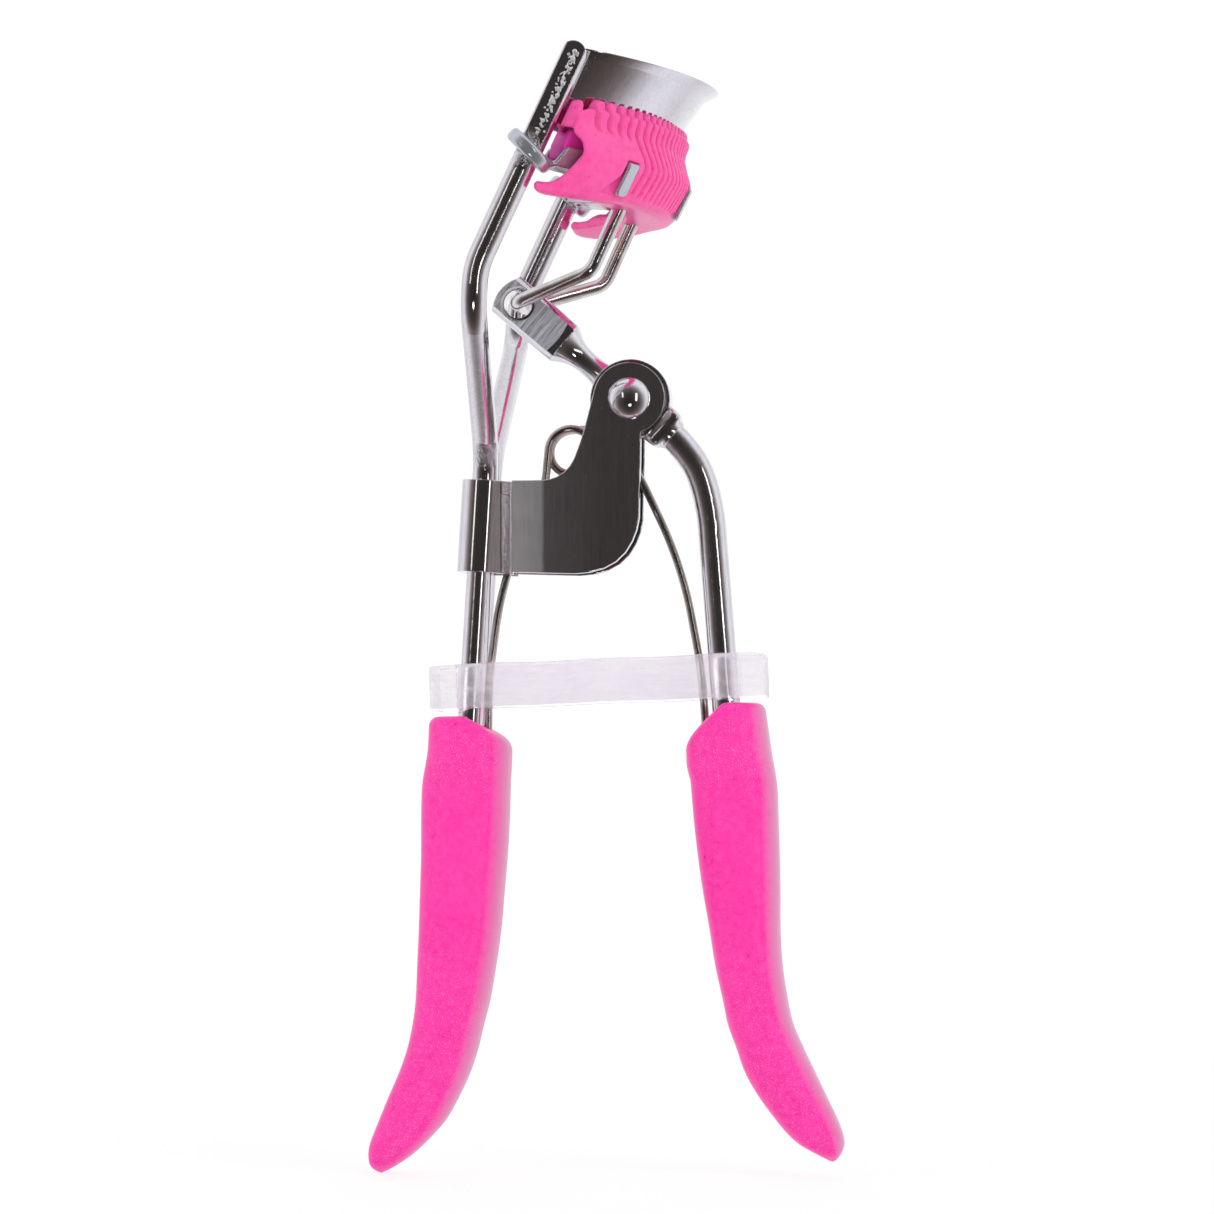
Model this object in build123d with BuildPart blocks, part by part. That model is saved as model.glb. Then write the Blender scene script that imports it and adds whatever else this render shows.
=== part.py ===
from build123d import *
import math
import os

# Eyelash curler, closed. Millimetres. +Z up with the jaws at the top, +X towards the handle that
# moves, Y across the jaws. The origin is the centre of the pivot rivet; the pivot axis is Y.

# ------------------------------------------------------------------ driving dimensions
# frame
frame_wire = 2.5          # diameter of the hairpin frame wire
upright_y = 15.6          # half the distance between the two uprights
rod_y = 1.4               # half the distance between the two rods below the head
slide_lean = 25.0         # lean of the uprights from vertical, degrees
slide_x, slide_z = -8.85, 20.46       # a point on the centre line of the uprights
upright_top_z = 31.33     # centre of the rounded end of each upright
blade_half = 0.78         # half thickness of the flattened ends of the frame wire
rod_lean = 0.0588         # sideways run of the lower rods per mm of height
rod_x_ref, rod_z_ref = -14.2, -7.85   # a point on the centre line of the lower rods
frame_end_z = -55.0       # where the bend that joins the two rods begins

# jaws; heights are above the closing edge, offsets are outwards from the jaw curve
jaw_tilt = 10.0           # fall of the jaw curve plane towards +X, degrees
jaw_half_chord = 14.5     # half chord of the jaw curve
jaw_sagitta = 9.1         # depth of the jaw curve at the closing edge
jaw_sagitta_growth = 0.229  # extra depth of the upper jaw per mm of height
jaw_height = 7.3          # height of the upper jaw below its lip
jaw_sheet = 0.7           # thickness of the upper jaw
end_x, end_z = -6.974, 24.54  # closing edge of the jaw at the uprights
pad_half = 1.5            # half width of the silicone pad
pad_height = 2.8
pad_top = -0.03
pad_base = pad_top - pad_height
trough_sheet = 0.5
trough_floor = 0.55       # thickness of the trough's floor
floor_top = pad_base - 0.02
floor_low = floor_top - trough_floor
hook_angles = (-37.0, 0.0, 37.0)  # places of the comb hooks round the jaw curve, degrees

# link wire
link_wire_d = 1.4
link_leg_y = 5.5
link_bend_x, link_bend_z = -3.3, 12.0  # lower corner of each leg

# lever and pivot
lever_rod_d = 2.8
lever_rod_x, lever_rod_z = 7.95, -13.7  # top of the straight length of the lever rod
lever_rod_lean = 0.0785   # run of the straight length towards +X per mm of drop
lever_end_z = -56.0
lever_hole_x, lever_hole_z = -11.0, 9.45
lever_hole_d = 2.8
knob_d = 4.4
knob_half = 1.45          # half thickness across the brushed flats
boss_r = 3.9
boss_half = 1.4
ear_inner = 1.5           # half gap between the bracket ears
ear_sheet = 0.9
ear_outer = ear_inner + ear_sheet
ear_r = 3.5
barrel_height = 8.95
rivet_d = 2.5
rivet_head_r, rivet_head_h = 2.05, 1.15  # head on the -Y side
rivet_tail_r, rivet_tail_h = 1.9, 0.8    # head on the +Y side

# spring, grips and band
spring_wire = 0.8
spring_r = 2.2            # mean radius of the spring coil
spring_x, spring_z = -5.83, -4.97
grip_bore_z = -29.0       # where the cuts into both grips begin, above the grips
band_x, band_z = -3.15, -27.45
band_height = 4.3
band_tilt = 2.1           # degrees

running = 0.05            # clearance on turning fits
fit = 0.03                # clearance on fixed fits

# ------------------------------------------------------------------ shared directions and points
y_axis = (0, 1, 0)
side_on = (0, -1, 0)      # normal of the sketches drawn in X and Z
tilt = math.radians(jaw_tilt)
lean = math.radians(slide_lean)
across = Vector(math.cos(tilt), 0, -math.sin(tilt))      # across the jaw, in its plane
jaw_normal = Vector(math.sin(tilt), 0, math.cos(tilt))
slide_dir = Vector(math.sin(lean), 0, math.cos(lean))    # up the uprights
rise = across * math.tan(lean - tilt) + jaw_normal       # slide travel per mm of jaw height
rod_dir = Vector(rod_lean, 0, 1).normalized()
link_leg_dir = Vector(3.55, 0, 7.85).normalized()        # up the legs of the link wire
jaw_end = Vector(end_x, 0, end_z)
jaw_r = (jaw_half_chord**2 + jaw_sagitta**2) / (2 * jaw_sagitta)
jaw_centre = jaw_end + across * (jaw_sagitta - jaw_r)    # centre of the jaw curve at height 0


def at_y(point, y):
    """The point moved to the given y."""
    return Vector(point.X, y, point.Z)


def on_upright(z):
    return Vector(slide_x + (z - slide_z) * math.tan(lean), 0, z)


def on_rod(z):
    return Vector(rod_x_ref + (z - rod_z_ref) * rod_lean, 0, z)


def on_lever_rod(z):
    return Vector(lever_rod_x - (z - lever_rod_z) * lever_rod_lean, 0, z)


def square_to(direction):
    """The direction turned a quarter turn within the XZ plane."""
    return Vector(direction.Z, 0, -direction.X)


def rod_plane(z):
    """Plane square to the lower rods, its origin midway between them."""
    return Plane(origin=on_rod(z), x_dir=square_to(rod_dir), z_dir=rod_dir)


def jaw_plane(origin, x_dir=across):
    """Plane parallel to the plane of the jaw curve."""
    return Plane(origin=origin, x_dir=x_dir, z_dir=jaw_normal)


def radial(angle):
    """Direction outwards from the centre of the jaw curve, at an angle in degrees."""
    turn = math.radians(angle)
    return across * math.cos(turn) + Vector(0, 1, 0) * math.sin(turn)


def beside_curve(out, height, offset):
    """Point in radial direction out, at a height and an offset from the jaw curve."""
    return jaw_centre + rise * height + out * (jaw_r + offset)


def strip(plane, inner_r, outer_r, half):
    """Face between two arcs about the plane's origin, half degrees to each side."""
    with BuildSketch(plane) as sketch:
        with BuildLine():
            outer = CenterArc((0, 0), outer_r, -half, 2 * half)
            inner = CenterArc((0, 0), inner_r, -half, 2 * half)
            Line(outer @ 0, inner @ 0)
            Line(outer @ 1, inner @ 1)
        make_face()
    return sketch.sketch


def stack(rows, half):
    """Ruled lofts through strips along the jaw curve: (height, inner offset, outer offset)."""
    strips = [
        strip(jaw_plane(jaw_centre + rise * height), jaw_r + inner, jaw_r + outer, half)
        for height, inner, outer in rows
    ]
    for lower, upper in zip(strips[:-1], strips[1:]):
        loft(sections=[lower, upper], ruled=True)


def bent_wire(points, radii):
    """Straight lengths of wire joined by tangent bends of the given radii."""
    points = [Vector(*point) for point in points]
    start = points[0]
    for before, corner, after, radius in zip(points[:-2], points[1:-1], points[2:], radii):
        back = (before - corner).normalized()
        ahead = (after - corner).normalized()
        half_turn = (math.pi - math.radians(back.get_angle(ahead))) / 2
        trim = radius * math.tan(half_turn)
        depth = radius / math.cos(half_turn) - radius
        middle = corner + (back + ahead).normalized() * depth
        bend_start = corner + back * trim
        bend_end = corner + ahead * trim
        Line(tuple(start), tuple(bend_start))
        ThreePointArc(tuple(bend_start), tuple(middle), tuple(bend_end))
        start = bend_end
    Line(tuple(start), tuple(points[-1]))


# ------------------------------------------------------------------ frame: one hairpin wire
def build_frame_rod():
    top = on_upright(upright_top_z) + slide_dir * (frame_wire / 2)
    shoulder = on_upright(11.3)      # where the upright turns down
    waist = Vector(-13.36, 0, 7.35)  # where it turns in towards the other side
    neck = on_rod(-5.45)             # where the two sides come together
    end = on_rod(frame_end_z)
    radii = [8, 5, 5]                # bends at the shoulder, waist and neck
    flat_centre = on_upright(27.6)
    flat_half = 6.4                  # half length of the flats
    flat_cut = 2                     # thickness of the block cut from each face
    tip_centre = on_upright(upright_top_z)

    def half_frame(side):
        high = [at_y(point, side * upright_y) for point in (top, shoulder, waist)]
        low = [at_y(point, side * rod_y) for point in (neck, end)]
        return high + low

    with BuildPart() as frame:
        with BuildLine() as path:
            bent_wire(half_frame(-1), radii)
            ThreePointArc(
                tuple(at_y(end, -rod_y)), tuple(end - rod_dir * rod_y), tuple(at_y(end, rod_y))
            )
            bent_wire(half_frame(1)[::-1], radii[::-1])
        with BuildSketch(Plane(origin=at_y(top, -upright_y), z_dir=-slide_dir)):
            Circle(frame_wire / 2)
        sweep(path=path.line)
        # both faces of the top of the wire are pressed flat where the upper jaw is joined
        cut_y = blade_half + flat_cut / 2
        for side in (-1, 1):
            flat_origin = at_y(flat_centre, side * upright_y)
            with BuildSketch(Plane(origin=flat_origin, x_dir=y_axis, z_dir=slide_dir)):
                with Locations((cut_y, 0), (-cut_y, 0)):
                    Rectangle(flat_cut, 4)
        extrude(amount=flat_half, both=True, mode=Mode.SUBTRACT)
        # rounded tips
        with BuildSketch(
            Plane(origin=at_y(tip_centre, 20), x_dir=square_to(slide_dir), z_dir=side_on)
        ):
            with Locations((0, 1.5)):
                Rectangle(4, 3)
            Circle(frame_wire / 2, mode=Mode.SUBTRACT)
        extrude(amount=40, mode=Mode.SUBTRACT)
    return frame.part


# ------------------------------------------------------------------ upper jaw: curved plate
def plate_face(height, extra=0.0):
    """Section of the upper jaw's plate, with extra depth added to its curve."""
    sagitta = jaw_sagitta + jaw_sagitta_growth * height + extra
    radius = (jaw_half_chord**2 + sagitta**2) / (2 * sagitta)
    half = math.degrees(math.asin(jaw_half_chord / radius))
    origin = jaw_end + rise * height + across * (sagitta - radius)
    return strip(jaw_plane(origin), radius - jaw_sheet / 2, radius + jaw_sheet / 2, half)


def build_upper_jaw():
    lip_height, lip_flare = 0.85, 0.75
    flange_length, flange_sheet = 2.0, 0.66
    flange_x, flange_y = 0.15, jaw_half_chord - 0.02
    flange_low, flange_high = 0.05, jaw_height + 0.6

    with BuildPart() as jaw:
        loft(sections=[plate_face(0), plate_face(jaw_height)], ruled=True)
        # flared lip
        loft(
            sections=[plate_face(jaw_height), plate_face(jaw_height + lip_height, lip_flare)],
            ruled=True,
        )
        # weld flanges that lie against the inner faces of the uprights
        with BuildSketch(jaw_plane(jaw_end + rise * flange_low)) as low:
            with Locations((flange_x, flange_y), (flange_x, -flange_y)):
                Rectangle(flange_length, flange_sheet)
        with BuildSketch(jaw_plane(jaw_end + rise * flange_high)) as high:
            with Locations((flange_x, flange_y), (flange_x, -flange_y)):
                Rectangle(flange_length, flange_sheet)
        for k in (0, 1):
            ends = [sketch.sketch.faces().sort_by(Axis.Y)[k] for sketch in (low, high)]
            loft(sections=ends, ruled=True)
    return jaw.part


# ------------------------------------------------------------------ lower jaw: pad trough
def build_lower_jaw():
    trough_inner = pad_half + 0.05
    trough_outer = trough_inner + trough_sheet
    wall_top = -1.3
    trough_half = 57.0               # degrees
    # (x across the jaw, y), one side
    neck_outline = [
        (1.2, 12.4), (2.75, 14.9), (2.3, 16.3), (1.0, 17.0), (0.2, 14.6), (1.2, 12.4),
    ]
    neck_sheet = 0.75
    eyelet_centre = on_upright(22.34)
    eyelet_normal = Vector(0.72, 0, 0.694).normalized()
    eyelet_r, eyelet_half = 2.25, 0.5
    eyelet_clearance = 0.08
    arm_low, arm_sheet, arm_width = -2.2, 0.55, 1.3
    arm_start, arm_length = 1.8, 3.1
    hook_sheet, hook_drop, hook_tip_width = 0.5, 3.3, 1.0
    hook_set_in = 0.12               # run of the hook towards the jaw over its drop

    with BuildPart() as jaw:
        # floor, outer wall and inner wall of the trough
        for low, high, inner, outer in (
            (floor_low, floor_top, -trough_outer, trough_outer),
            (floor_top, wall_top, trough_inner, trough_outer),
            (floor_top, wall_top, -trough_outer, -trough_inner),
        ):
            stack([(low, inner, outer), (high, inner, outer)], trough_half)
        # necks from the trough to the eyelets
        with BuildSketch(jaw_plane(jaw_end + rise * floor_low)):
            for side in (-1, 1):
                with BuildLine():
                    Polyline(*[(x, side * y) for x, y in neck_outline])
                make_face()
        extrude(amount=neck_sheet)
        # eyelets that run on the uprights, set at an angle to them
        for side in (-1, 1):
            eyelet = at_y(eyelet_centre, side * upright_y)
            with BuildSketch(Plane(origin=eyelet, x_dir=y_axis, z_dir=eyelet_normal)):
                Circle(eyelet_r)
            extrude(amount=eyelet_half, both=True)
        # the eyelets are bored along the uprights
        for side in (-1, 1):
            eyelet = at_y(eyelet_centre, side * upright_y)
            with BuildSketch(Plane(origin=eyelet, z_dir=slide_dir)):
                Circle(frame_wire / 2 + eyelet_clearance)
            extrude(amount=8, both=True, mode=Mode.SUBTRACT)
        # hooks that hold the comb; a hook's two sections stay pending after its loft,
        # so the extrude of the next arm takes them as well
        for angle in hook_angles:
            out = radial(angle)
            with BuildSketch(jaw_plane(beside_curve(out, arm_low, arm_start), out)):
                with Locations((arm_length / 2, 0)):
                    Rectangle(arm_length, arm_width)
            extrude(amount=arm_sheet)
            hook_offset = arm_start + arm_length - hook_sheet / 2
            hook = beside_curve(out, arm_low + arm_sheet, hook_offset)
            with BuildSketch(jaw_plane(hook, out)) as hook_top:
                Rectangle(hook_sheet, arm_width)
            hook_tip = hook - rise * hook_drop - out * hook_set_in
            with BuildSketch(jaw_plane(hook_tip, out)) as hook_low:
                Rectangle(hook_sheet, hook_tip_width)
            loft(sections=[hook_top.sketch, hook_low.sketch], ruled=True)
    return jaw.part


# ------------------------------------------------------------------ silicone pad
def build_silicone_pad():
    pad_angle = 56.5                 # half angle, degrees
    # (height, half width)
    profile = [
        (pad_base, 1.25), (pad_base + 0.45, pad_half), (-1.0, pad_half),
        (-0.35, 1.25), (pad_top, 0.75),
    ]
    with BuildPart() as pad:
        stack([(height, -half, half) for height, half in profile], pad_angle)
    return pad.part


# ------------------------------------------------------------------ lash comb
# (height, inner offset, outer offset)
comb_floor = [
    (-6.5, -0.4, 3.35), (-5.9, -0.6, 3.85), (-4.9, -0.6, 4.2), (-4.15, -0.3, 4.4),
]
comb_wall = [
    (-4.15, 2.75, 4.4), (-2.8, 2.55, 4.5), (-1.9, 2.45, 4.5), (-1.2, 2.35, 4.2), (0.0, 1.9, 3.35),
    (1.1, 1.55, 2.85), (2.3, 1.45, 2.6), (3.2, 1.4, 2.45), (3.8, 1.5, 2.1),
]
# (x across the jaw, height square to it), from the jaw's end
comb_notch = [
    (-6, 8), (3.55, 8), (3.55, 3.2), (3.1, 2.4), (3.15, 1.3), (4.1, 0.4), (5.6, -0.7),
    (6.05, -1.6), (5.4, -2.8), (4.0, -3.9), (2.4, -4.55), (0.75, -4.8), (0.45, -5.2),
    (0.8, -6.0), (1.6, -7.5), (-6, -7.5),
]
# (offset, height) of the gaps between the fins
long_gap = [
    (0.9, 4.6), (1.0, 1.75), (2.35, 1.3), (2.85, -0.05), (3.62, -1.15), (3.98, -1.8),
    (3.95, -3.2), (4.05, -4.3), (4.9, -4.9), (5.4, -4.9), (5.4, 4.6),
]
short_gap = [(0.9, 4.6), (1.0, 2.0), (2.35, 1.2), (2.9, 0.55), (5.4, 0.45), (5.4, 4.6)]
comb_half = 66.0          # degrees
comb_flank = 16.4         # half width of the flat flanks
fin_pitch = 0.905         # distance between the gaps that part the fins
fin_gap = 0.37            # width of a gap
fin_gaps = 17             # gaps on each side of the middle one
fin_long = 12             # gaps further out than this stay short


def gap_outline(gap_y, rows):
    """Outline in X and Z of a gap at gap_y, from rows of (offset, height)."""
    outline = []
    for offset, height in rows:
        reach = math.sqrt((jaw_r + offset)**2 - gap_y**2)
        point = jaw_centre + rise * height + across * reach
        outline.append((point.X, point.Z))
    return outline


def build_lash_comb():
    opening_low, opening_height = -5.35, 4.1
    opening_start, opening_depth, opening_width = 4.15, 1.8, 1.7
    arm_slot_low, arm_slot_height = -2.4, 1.0
    arm_slot_start, arm_slot_length, arm_slot_width = 1.6, 4.0, 1.6
    leg_slot = 2.0                   # width of the slots for the link wire

    with BuildPart() as comb:
        stack(comb_floor, comb_half)
        stack(comb_wall, comb_half)
        # flat flanks
        with Locations((0, comb_flank + 5, 20), (0, -comb_flank - 5, 20)):
            Box(60, 10, 40, mode=Mode.SUBTRACT)
        # notch at each end that leaves an upper lobe and a lower lip
        with BuildSketch(Plane(origin=jaw_end, x_dir=across, z_dir=side_on)):
            with BuildLine():
                Polyline(*comb_notch, comb_notch[0])
            make_face()
        extrude(amount=25, both=True, mode=Mode.SUBTRACT)
        # gaps between the fins, parallel to each other and open at the top as teeth
        for k in range(-fin_gaps, fin_gaps + 1):
            gap_y = k * fin_pitch
            outline = gap_outline(gap_y, short_gap if abs(k) > fin_long else long_gap)
            gap_face = gap_y + fin_gap / 2
            with BuildSketch(Plane(origin=(0, gap_face, 0), x_dir=(1, 0, 0), z_dir=side_on)):
                with BuildLine():
                    Polyline(*outline, outline[0])
                make_face()
        extrude(amount=fin_gap, mode=Mode.SUBTRACT)
        # openings for the hooks of the lower jaw; the two sections stay pending after the loft,
        # so the extrude of the arm slot takes them as well
        for angle in hook_angles:
            out = radial(angle)
            start = beside_curve(out, opening_low, opening_start)
            with BuildSketch(jaw_plane(start, out)) as low:
                with Locations((opening_depth / 2, 0)):
                    Rectangle(opening_depth, opening_width)
            with BuildSketch(jaw_plane(start + rise * opening_height, out)) as high:
                with Locations((opening_depth / 2, 0)):
                    Rectangle(opening_depth, opening_width)
            loft(sections=[low.sketch, high.sketch], ruled=True, mode=Mode.SUBTRACT)
            with BuildSketch(jaw_plane(beside_curve(out, arm_slot_low, arm_slot_start), out)):
                with Locations((arm_slot_length / 2, 0)):
                    Rectangle(arm_slot_length, arm_slot_width)
            extrude(amount=arm_slot_height, mode=Mode.SUBTRACT)
        # slots in the floor for the legs of the link wire
        for side in (-1, 1):
            leg = Vector(link_bend_x, side * link_leg_y, link_bend_z)
            with BuildSketch(Plane(origin=leg, x_dir=y_axis, z_dir=link_leg_dir)):
                with Locations((0, 0)):
                    Rectangle(leg_slot, 1.9)
                with Locations((0, 2.0)):
                    Rectangle(leg_slot, 4.0)
            extrude(amount=12, mode=Mode.SUBTRACT)
    return comb.part


# ------------------------------------------------------------------ link wire
def build_link_wire():
    """Staple from the lower jaw through the lever."""
    leg_bend = Vector(link_bend_x, -link_leg_y, link_bend_z)
    leg_top = leg_bend + link_leg_dir * 9.7
    eye_bend = Vector(lever_hole_x, -2.4, lever_hole_z)
    middle = Vector(lever_hole_x, 0, lever_hole_z)

    with BuildPart() as wire:
        with BuildLine() as path:
            bent_wire([leg_top, leg_bend, eye_bend, middle], [1.9, 1.3])
        with BuildSketch(Plane(origin=leg_top, z_dir=link_leg_dir * -1)):
            Circle(link_wire_d / 2)
        sweep(path=path.line)
        mirror(about=Plane.XZ)
        # the ends are dressed to the underside of the trough
        with BuildSketch(jaw_plane(jaw_centre + rise * (floor_low - 0.02))):
            Circle(40)
        extrude(amount=6, mode=Mode.SUBTRACT)
    return wire.part


# ------------------------------------------------------------------ lever
def build_lever():
    """Forged arm, boss and rod in one piece."""
    arm_length = math.hypot(lever_hole_x, lever_hole_z)
    arm = Vector(lever_hole_x / arm_length, 0, lever_hole_z / arm_length)
    out = Vector(0.76, 0, -0.65).normalized()  # where the rod leaves the boss
    rod_start = (1.6, 0, -1.37)
    # (x, y, z) of the rod's curve
    rod_curve = [
        (3.55, 0, -3.05), (5.15, 0, -4.75), (6.25, 0, -6.3), (6.95, 0, -7.95),
        (7.45, 0, -9.8), (7.80, 0, -11.9), (lever_rod_x, 0, lever_rod_z),
    ]
    # (distance from the pivot along the arm, radius)
    neck_root, neck_r = 2.6, 1.38
    neck_curve = [(3.6, neck_r), (4.6, 1.2), (5.6, 1.15), (6.9, 1.3), (7.9, 1.72), (8.5, 2.12)]
    knob_start = (8.62, knob_d / 2)
    knob_end = (16.2, knob_d / 2)
    knob_round = (16.72, 1.3)
    knob_tip = (16.9, 0)
    flat_centre, flat_half = 12.9, 4.4
    flat_cut = 3                     # thickness of the block cut from each side
    countersink_growth, countersink_depth = 0.35, 0.36

    with BuildPart() as lever:
        with BuildSketch(Plane.XZ):
            Circle(boss_r)
        extrude(amount=boss_half, both=True)
        # shoulder where the rod leaves the boss
        with BuildSketch(Plane(origin=(0, 0, 0), x_dir=out, z_dir=side_on)):
            with Locations((2.55, 0)):
                Rectangle(4.6, 3.7)
        extrude(amount=boss_half, both=True)
        # rod
        with BuildLine() as rod_path:
            Line(rod_start, rod_curve[0])
            Spline(*rod_curve, tangents=((out.X, 0, out.Z), (0.076, 0, -0.997)))
            Line(rod_curve[-1], tuple(on_lever_rod(lever_end_z)))
        with BuildSketch(Plane(origin=rod_start, z_dir=out)):
            Circle(lever_rod_d / 2)
        sweep(path=rod_path.line)
        # neck and knob on one axis
        with BuildSketch(Plane(origin=(0, 0, 0), x_dir=arm, z_dir=side_on)):
            with BuildLine():
                Line((neck_root, 0), (neck_root, neck_r))
                Line((neck_root, neck_r), neck_curve[0])
                Spline(*neck_curve)
                Line(neck_curve[-1], knob_start)
                Line(knob_start, knob_end)
                ThreePointArc(knob_end, knob_round, knob_tip)
                Line(knob_tip, (neck_root, 0))
            make_face()
        revolve(axis=Axis((0, 0, 0), tuple(arm)))
        # flats on both sides of the knob
        cut_y = knob_half + flat_cut / 2
        with BuildSketch(Plane(origin=arm * flat_centre, x_dir=y_axis, z_dir=arm)):
            with Locations((cut_y, 0), (-cut_y, 0)):
                Rectangle(flat_cut, 6)
        extrude(amount=flat_half, both=True, mode=Mode.SUBTRACT)
        # wire eye with a shallow countersink on both faces
        with BuildSketch(Plane(origin=(lever_hole_x, 0, lever_hole_z), x_dir=arm, z_dir=side_on)):
            Circle(lever_hole_d / 2)
        extrude(amount=5, both=True, mode=Mode.SUBTRACT)
        for side in (-1, 1):
            mouth = (lever_hole_x, side * (knob_half + 0.01), lever_hole_z)
            with BuildSketch(Plane(origin=mouth, z_dir=(0, -side, 0))):
                Circle(lever_hole_d / 2 + countersink_growth)
            extrude(amount=countersink_depth, taper=44, mode=Mode.SUBTRACT)
        # pivot bore
        with BuildSketch(Plane.XZ):
            Circle(rivet_d / 2 + running)
        extrude(amount=5, both=True, mode=Mode.SUBTRACT)
    return lever.part


# ------------------------------------------------------------------ bracket
# (x, z) of both ears and the part of the sheet that joins them to the wrap
ear_outline = [
    (-11.4, -7.88), (-8.6, -7.88), (-7.75, -7.80), (-7.0, -7.55), (-6.3, -7.1), (-5.75, -6.5),
    (-5.35, -5.8), (-5.05, -5.0), (-4.75, -4.2), (-4.35, -2.9), (-3.45, 0.6), (0, 0),
    (1.15, -3.0), (1.12, -6.05), (1.02, -9.0), (0.98, -11.6), (0.75, -12.75), (0.32, -13.85),
    (-0.35, -14.95), (-1.3, -15.85), (-2.5, -16.5), (-3.8, -16.85), (-5.2, -16.98),
    (-11.4, -16.78),
]


def build_pivot_bracket():
    """One folded sheet round both rods, with two ears."""
    wrap_in = rod_y + frame_wire / 2 + fit
    wrap_out = wrap_in + ear_sheet
    back_in = frame_wire / 2 + fit   # the back of the wrap is on the -X side of the rods
    back_out = back_in + ear_sheet
    # (x from the rods, y, fillet radius or 0), the +Y half
    wrap_corners = [
        (-back_out, 0, 0), (-back_out, wrap_out, 2.05), (0.75, wrap_out, 1.3),
        (2.45, ear_outer, 0.7), (3.4, ear_outer, 0), (3.4, ear_inner, 0),
        (2.25, ear_inner, 0.9), (0.6, wrap_in, 0.5), (-back_in, wrap_in, 1.2), (-back_in, 0, 0),
    ]
    wrap_outline = [(x, y) for x, y, radius in wrap_corners]

    with BuildPart() as bracket:
        with BuildSketch(rod_plane(rod_z_ref)) as wrap:
            with BuildLine():
                Polyline(*wrap_outline, wrap_outline[0])
            make_face()
            for x, y, radius in wrap_corners:
                if radius:
                    fillet(wrap.vertices().sort_by_distance((x, y, 0))[0], radius)
            mirror(about=Plane.XZ)
        extrude(amount=-barrel_height)
        with BuildSketch(Plane.XZ):
            with BuildLine():
                Polyline(*ear_outline, ear_outline[0])
            make_face()
            Circle(ear_r)
            Circle(rivet_d / 2 + fit, mode=Mode.SUBTRACT)
        extrude(amount=ear_outer, both=True)
        # space between the ears
        with BuildSketch(Plane.XZ):
            with Locations((1.4, -5)):
                Rectangle(26.0, 40)
        extrude(amount=ear_inner, both=True, mode=Mode.SUBTRACT)
    return bracket.part


# ------------------------------------------------------------------ pivot rivet
rivet_seat = ear_outer + fit


def dome(radius, height, side):
    """Spherical rivet head on the outer face of an ear."""
    ball = (radius**2 + height**2) / (2 * height)
    seat_plane = Plane(origin=(0, side * rivet_seat, 0), x_dir=(1, 0, 0), z_dir=(0, side, 0))
    with BuildPart() as head:
        with Locations((0, side * (rivet_seat + height - ball), 0)):
            Sphere(ball)
        split(bisect_by=seat_plane, keep=Keep.TOP)
    return head.part


def build_pivot_rivet():
    head = dome(rivet_head_r, rivet_head_h, -1)
    tail = dome(rivet_tail_r, rivet_tail_h, 1)
    with BuildPart() as rivet:
        with BuildSketch(Plane.XZ):
            Circle(rivet_d / 2)
        extrude(amount=rivet_seat, both=True)
        add(head)
        add(tail)
    return rivet.part


# ------------------------------------------------------------------ return spring
def build_torsion_spring():
    turns = 2.25
    pitch = 0.86
    coil_y = pitch * turns / 2
    # share of the coil's direction that runs along Y, and round the coil
    along = pitch / math.hypot(pitch, 2 * math.pi * spring_r)
    around = math.sqrt(1 - along**2)
    frame_side = Vector(spring_x - spring_r, -coil_y, spring_z)
    lever_side = Vector(spring_x, coil_y, spring_z + spring_r)
    coil_plane = Plane(origin=(spring_x, -coil_y, spring_z), x_dir=(-1, 0, 0), z_dir=y_axis)
    # (points from the coil to the end of the leg, bend radii)
    frame_leg = (
        [
            frame_side, frame_side - Vector(0, along, around),
            (-12.6, -0.5, -17.6), (-13.95, 0, -27.0), (-14.05, 0, -33.6),
        ],
        [5, 30, 30],
    )
    lever_leg = (
        [
            lever_side, lever_side + Vector(around, along, 0) * 1.6,
            (0.2, 0.95, -6.2), (4.9, 0.45, -16.2), (6.85, 0, -26.5), (7.34, 0, -33.6),
        ],
        [4, 15, 40, 40],
    )

    with BuildPart() as spring:
        coil = Edge.make_helix(pitch, pitch * turns, spring_r).moved(coil_plane.location)
        with BuildLine() as coil_path:
            add(coil)
        with BuildSketch(Plane(origin=coil @ 0, z_dir=coil % 0)):
            Circle(spring_wire / 2)
        sweep(path=coil_path.line, is_frenet=True)
        for points, radii in (frame_leg, lever_leg):
            with BuildLine() as leg_path:
                bent_wire(points, radii)
            with BuildSketch(Plane(origin=points[0], z_dir=leg_path.line.edges()[0] % 0)):
                Circle(spring_wire / 2)
            sweep(path=leg_path.line)
    return spring.part


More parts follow.
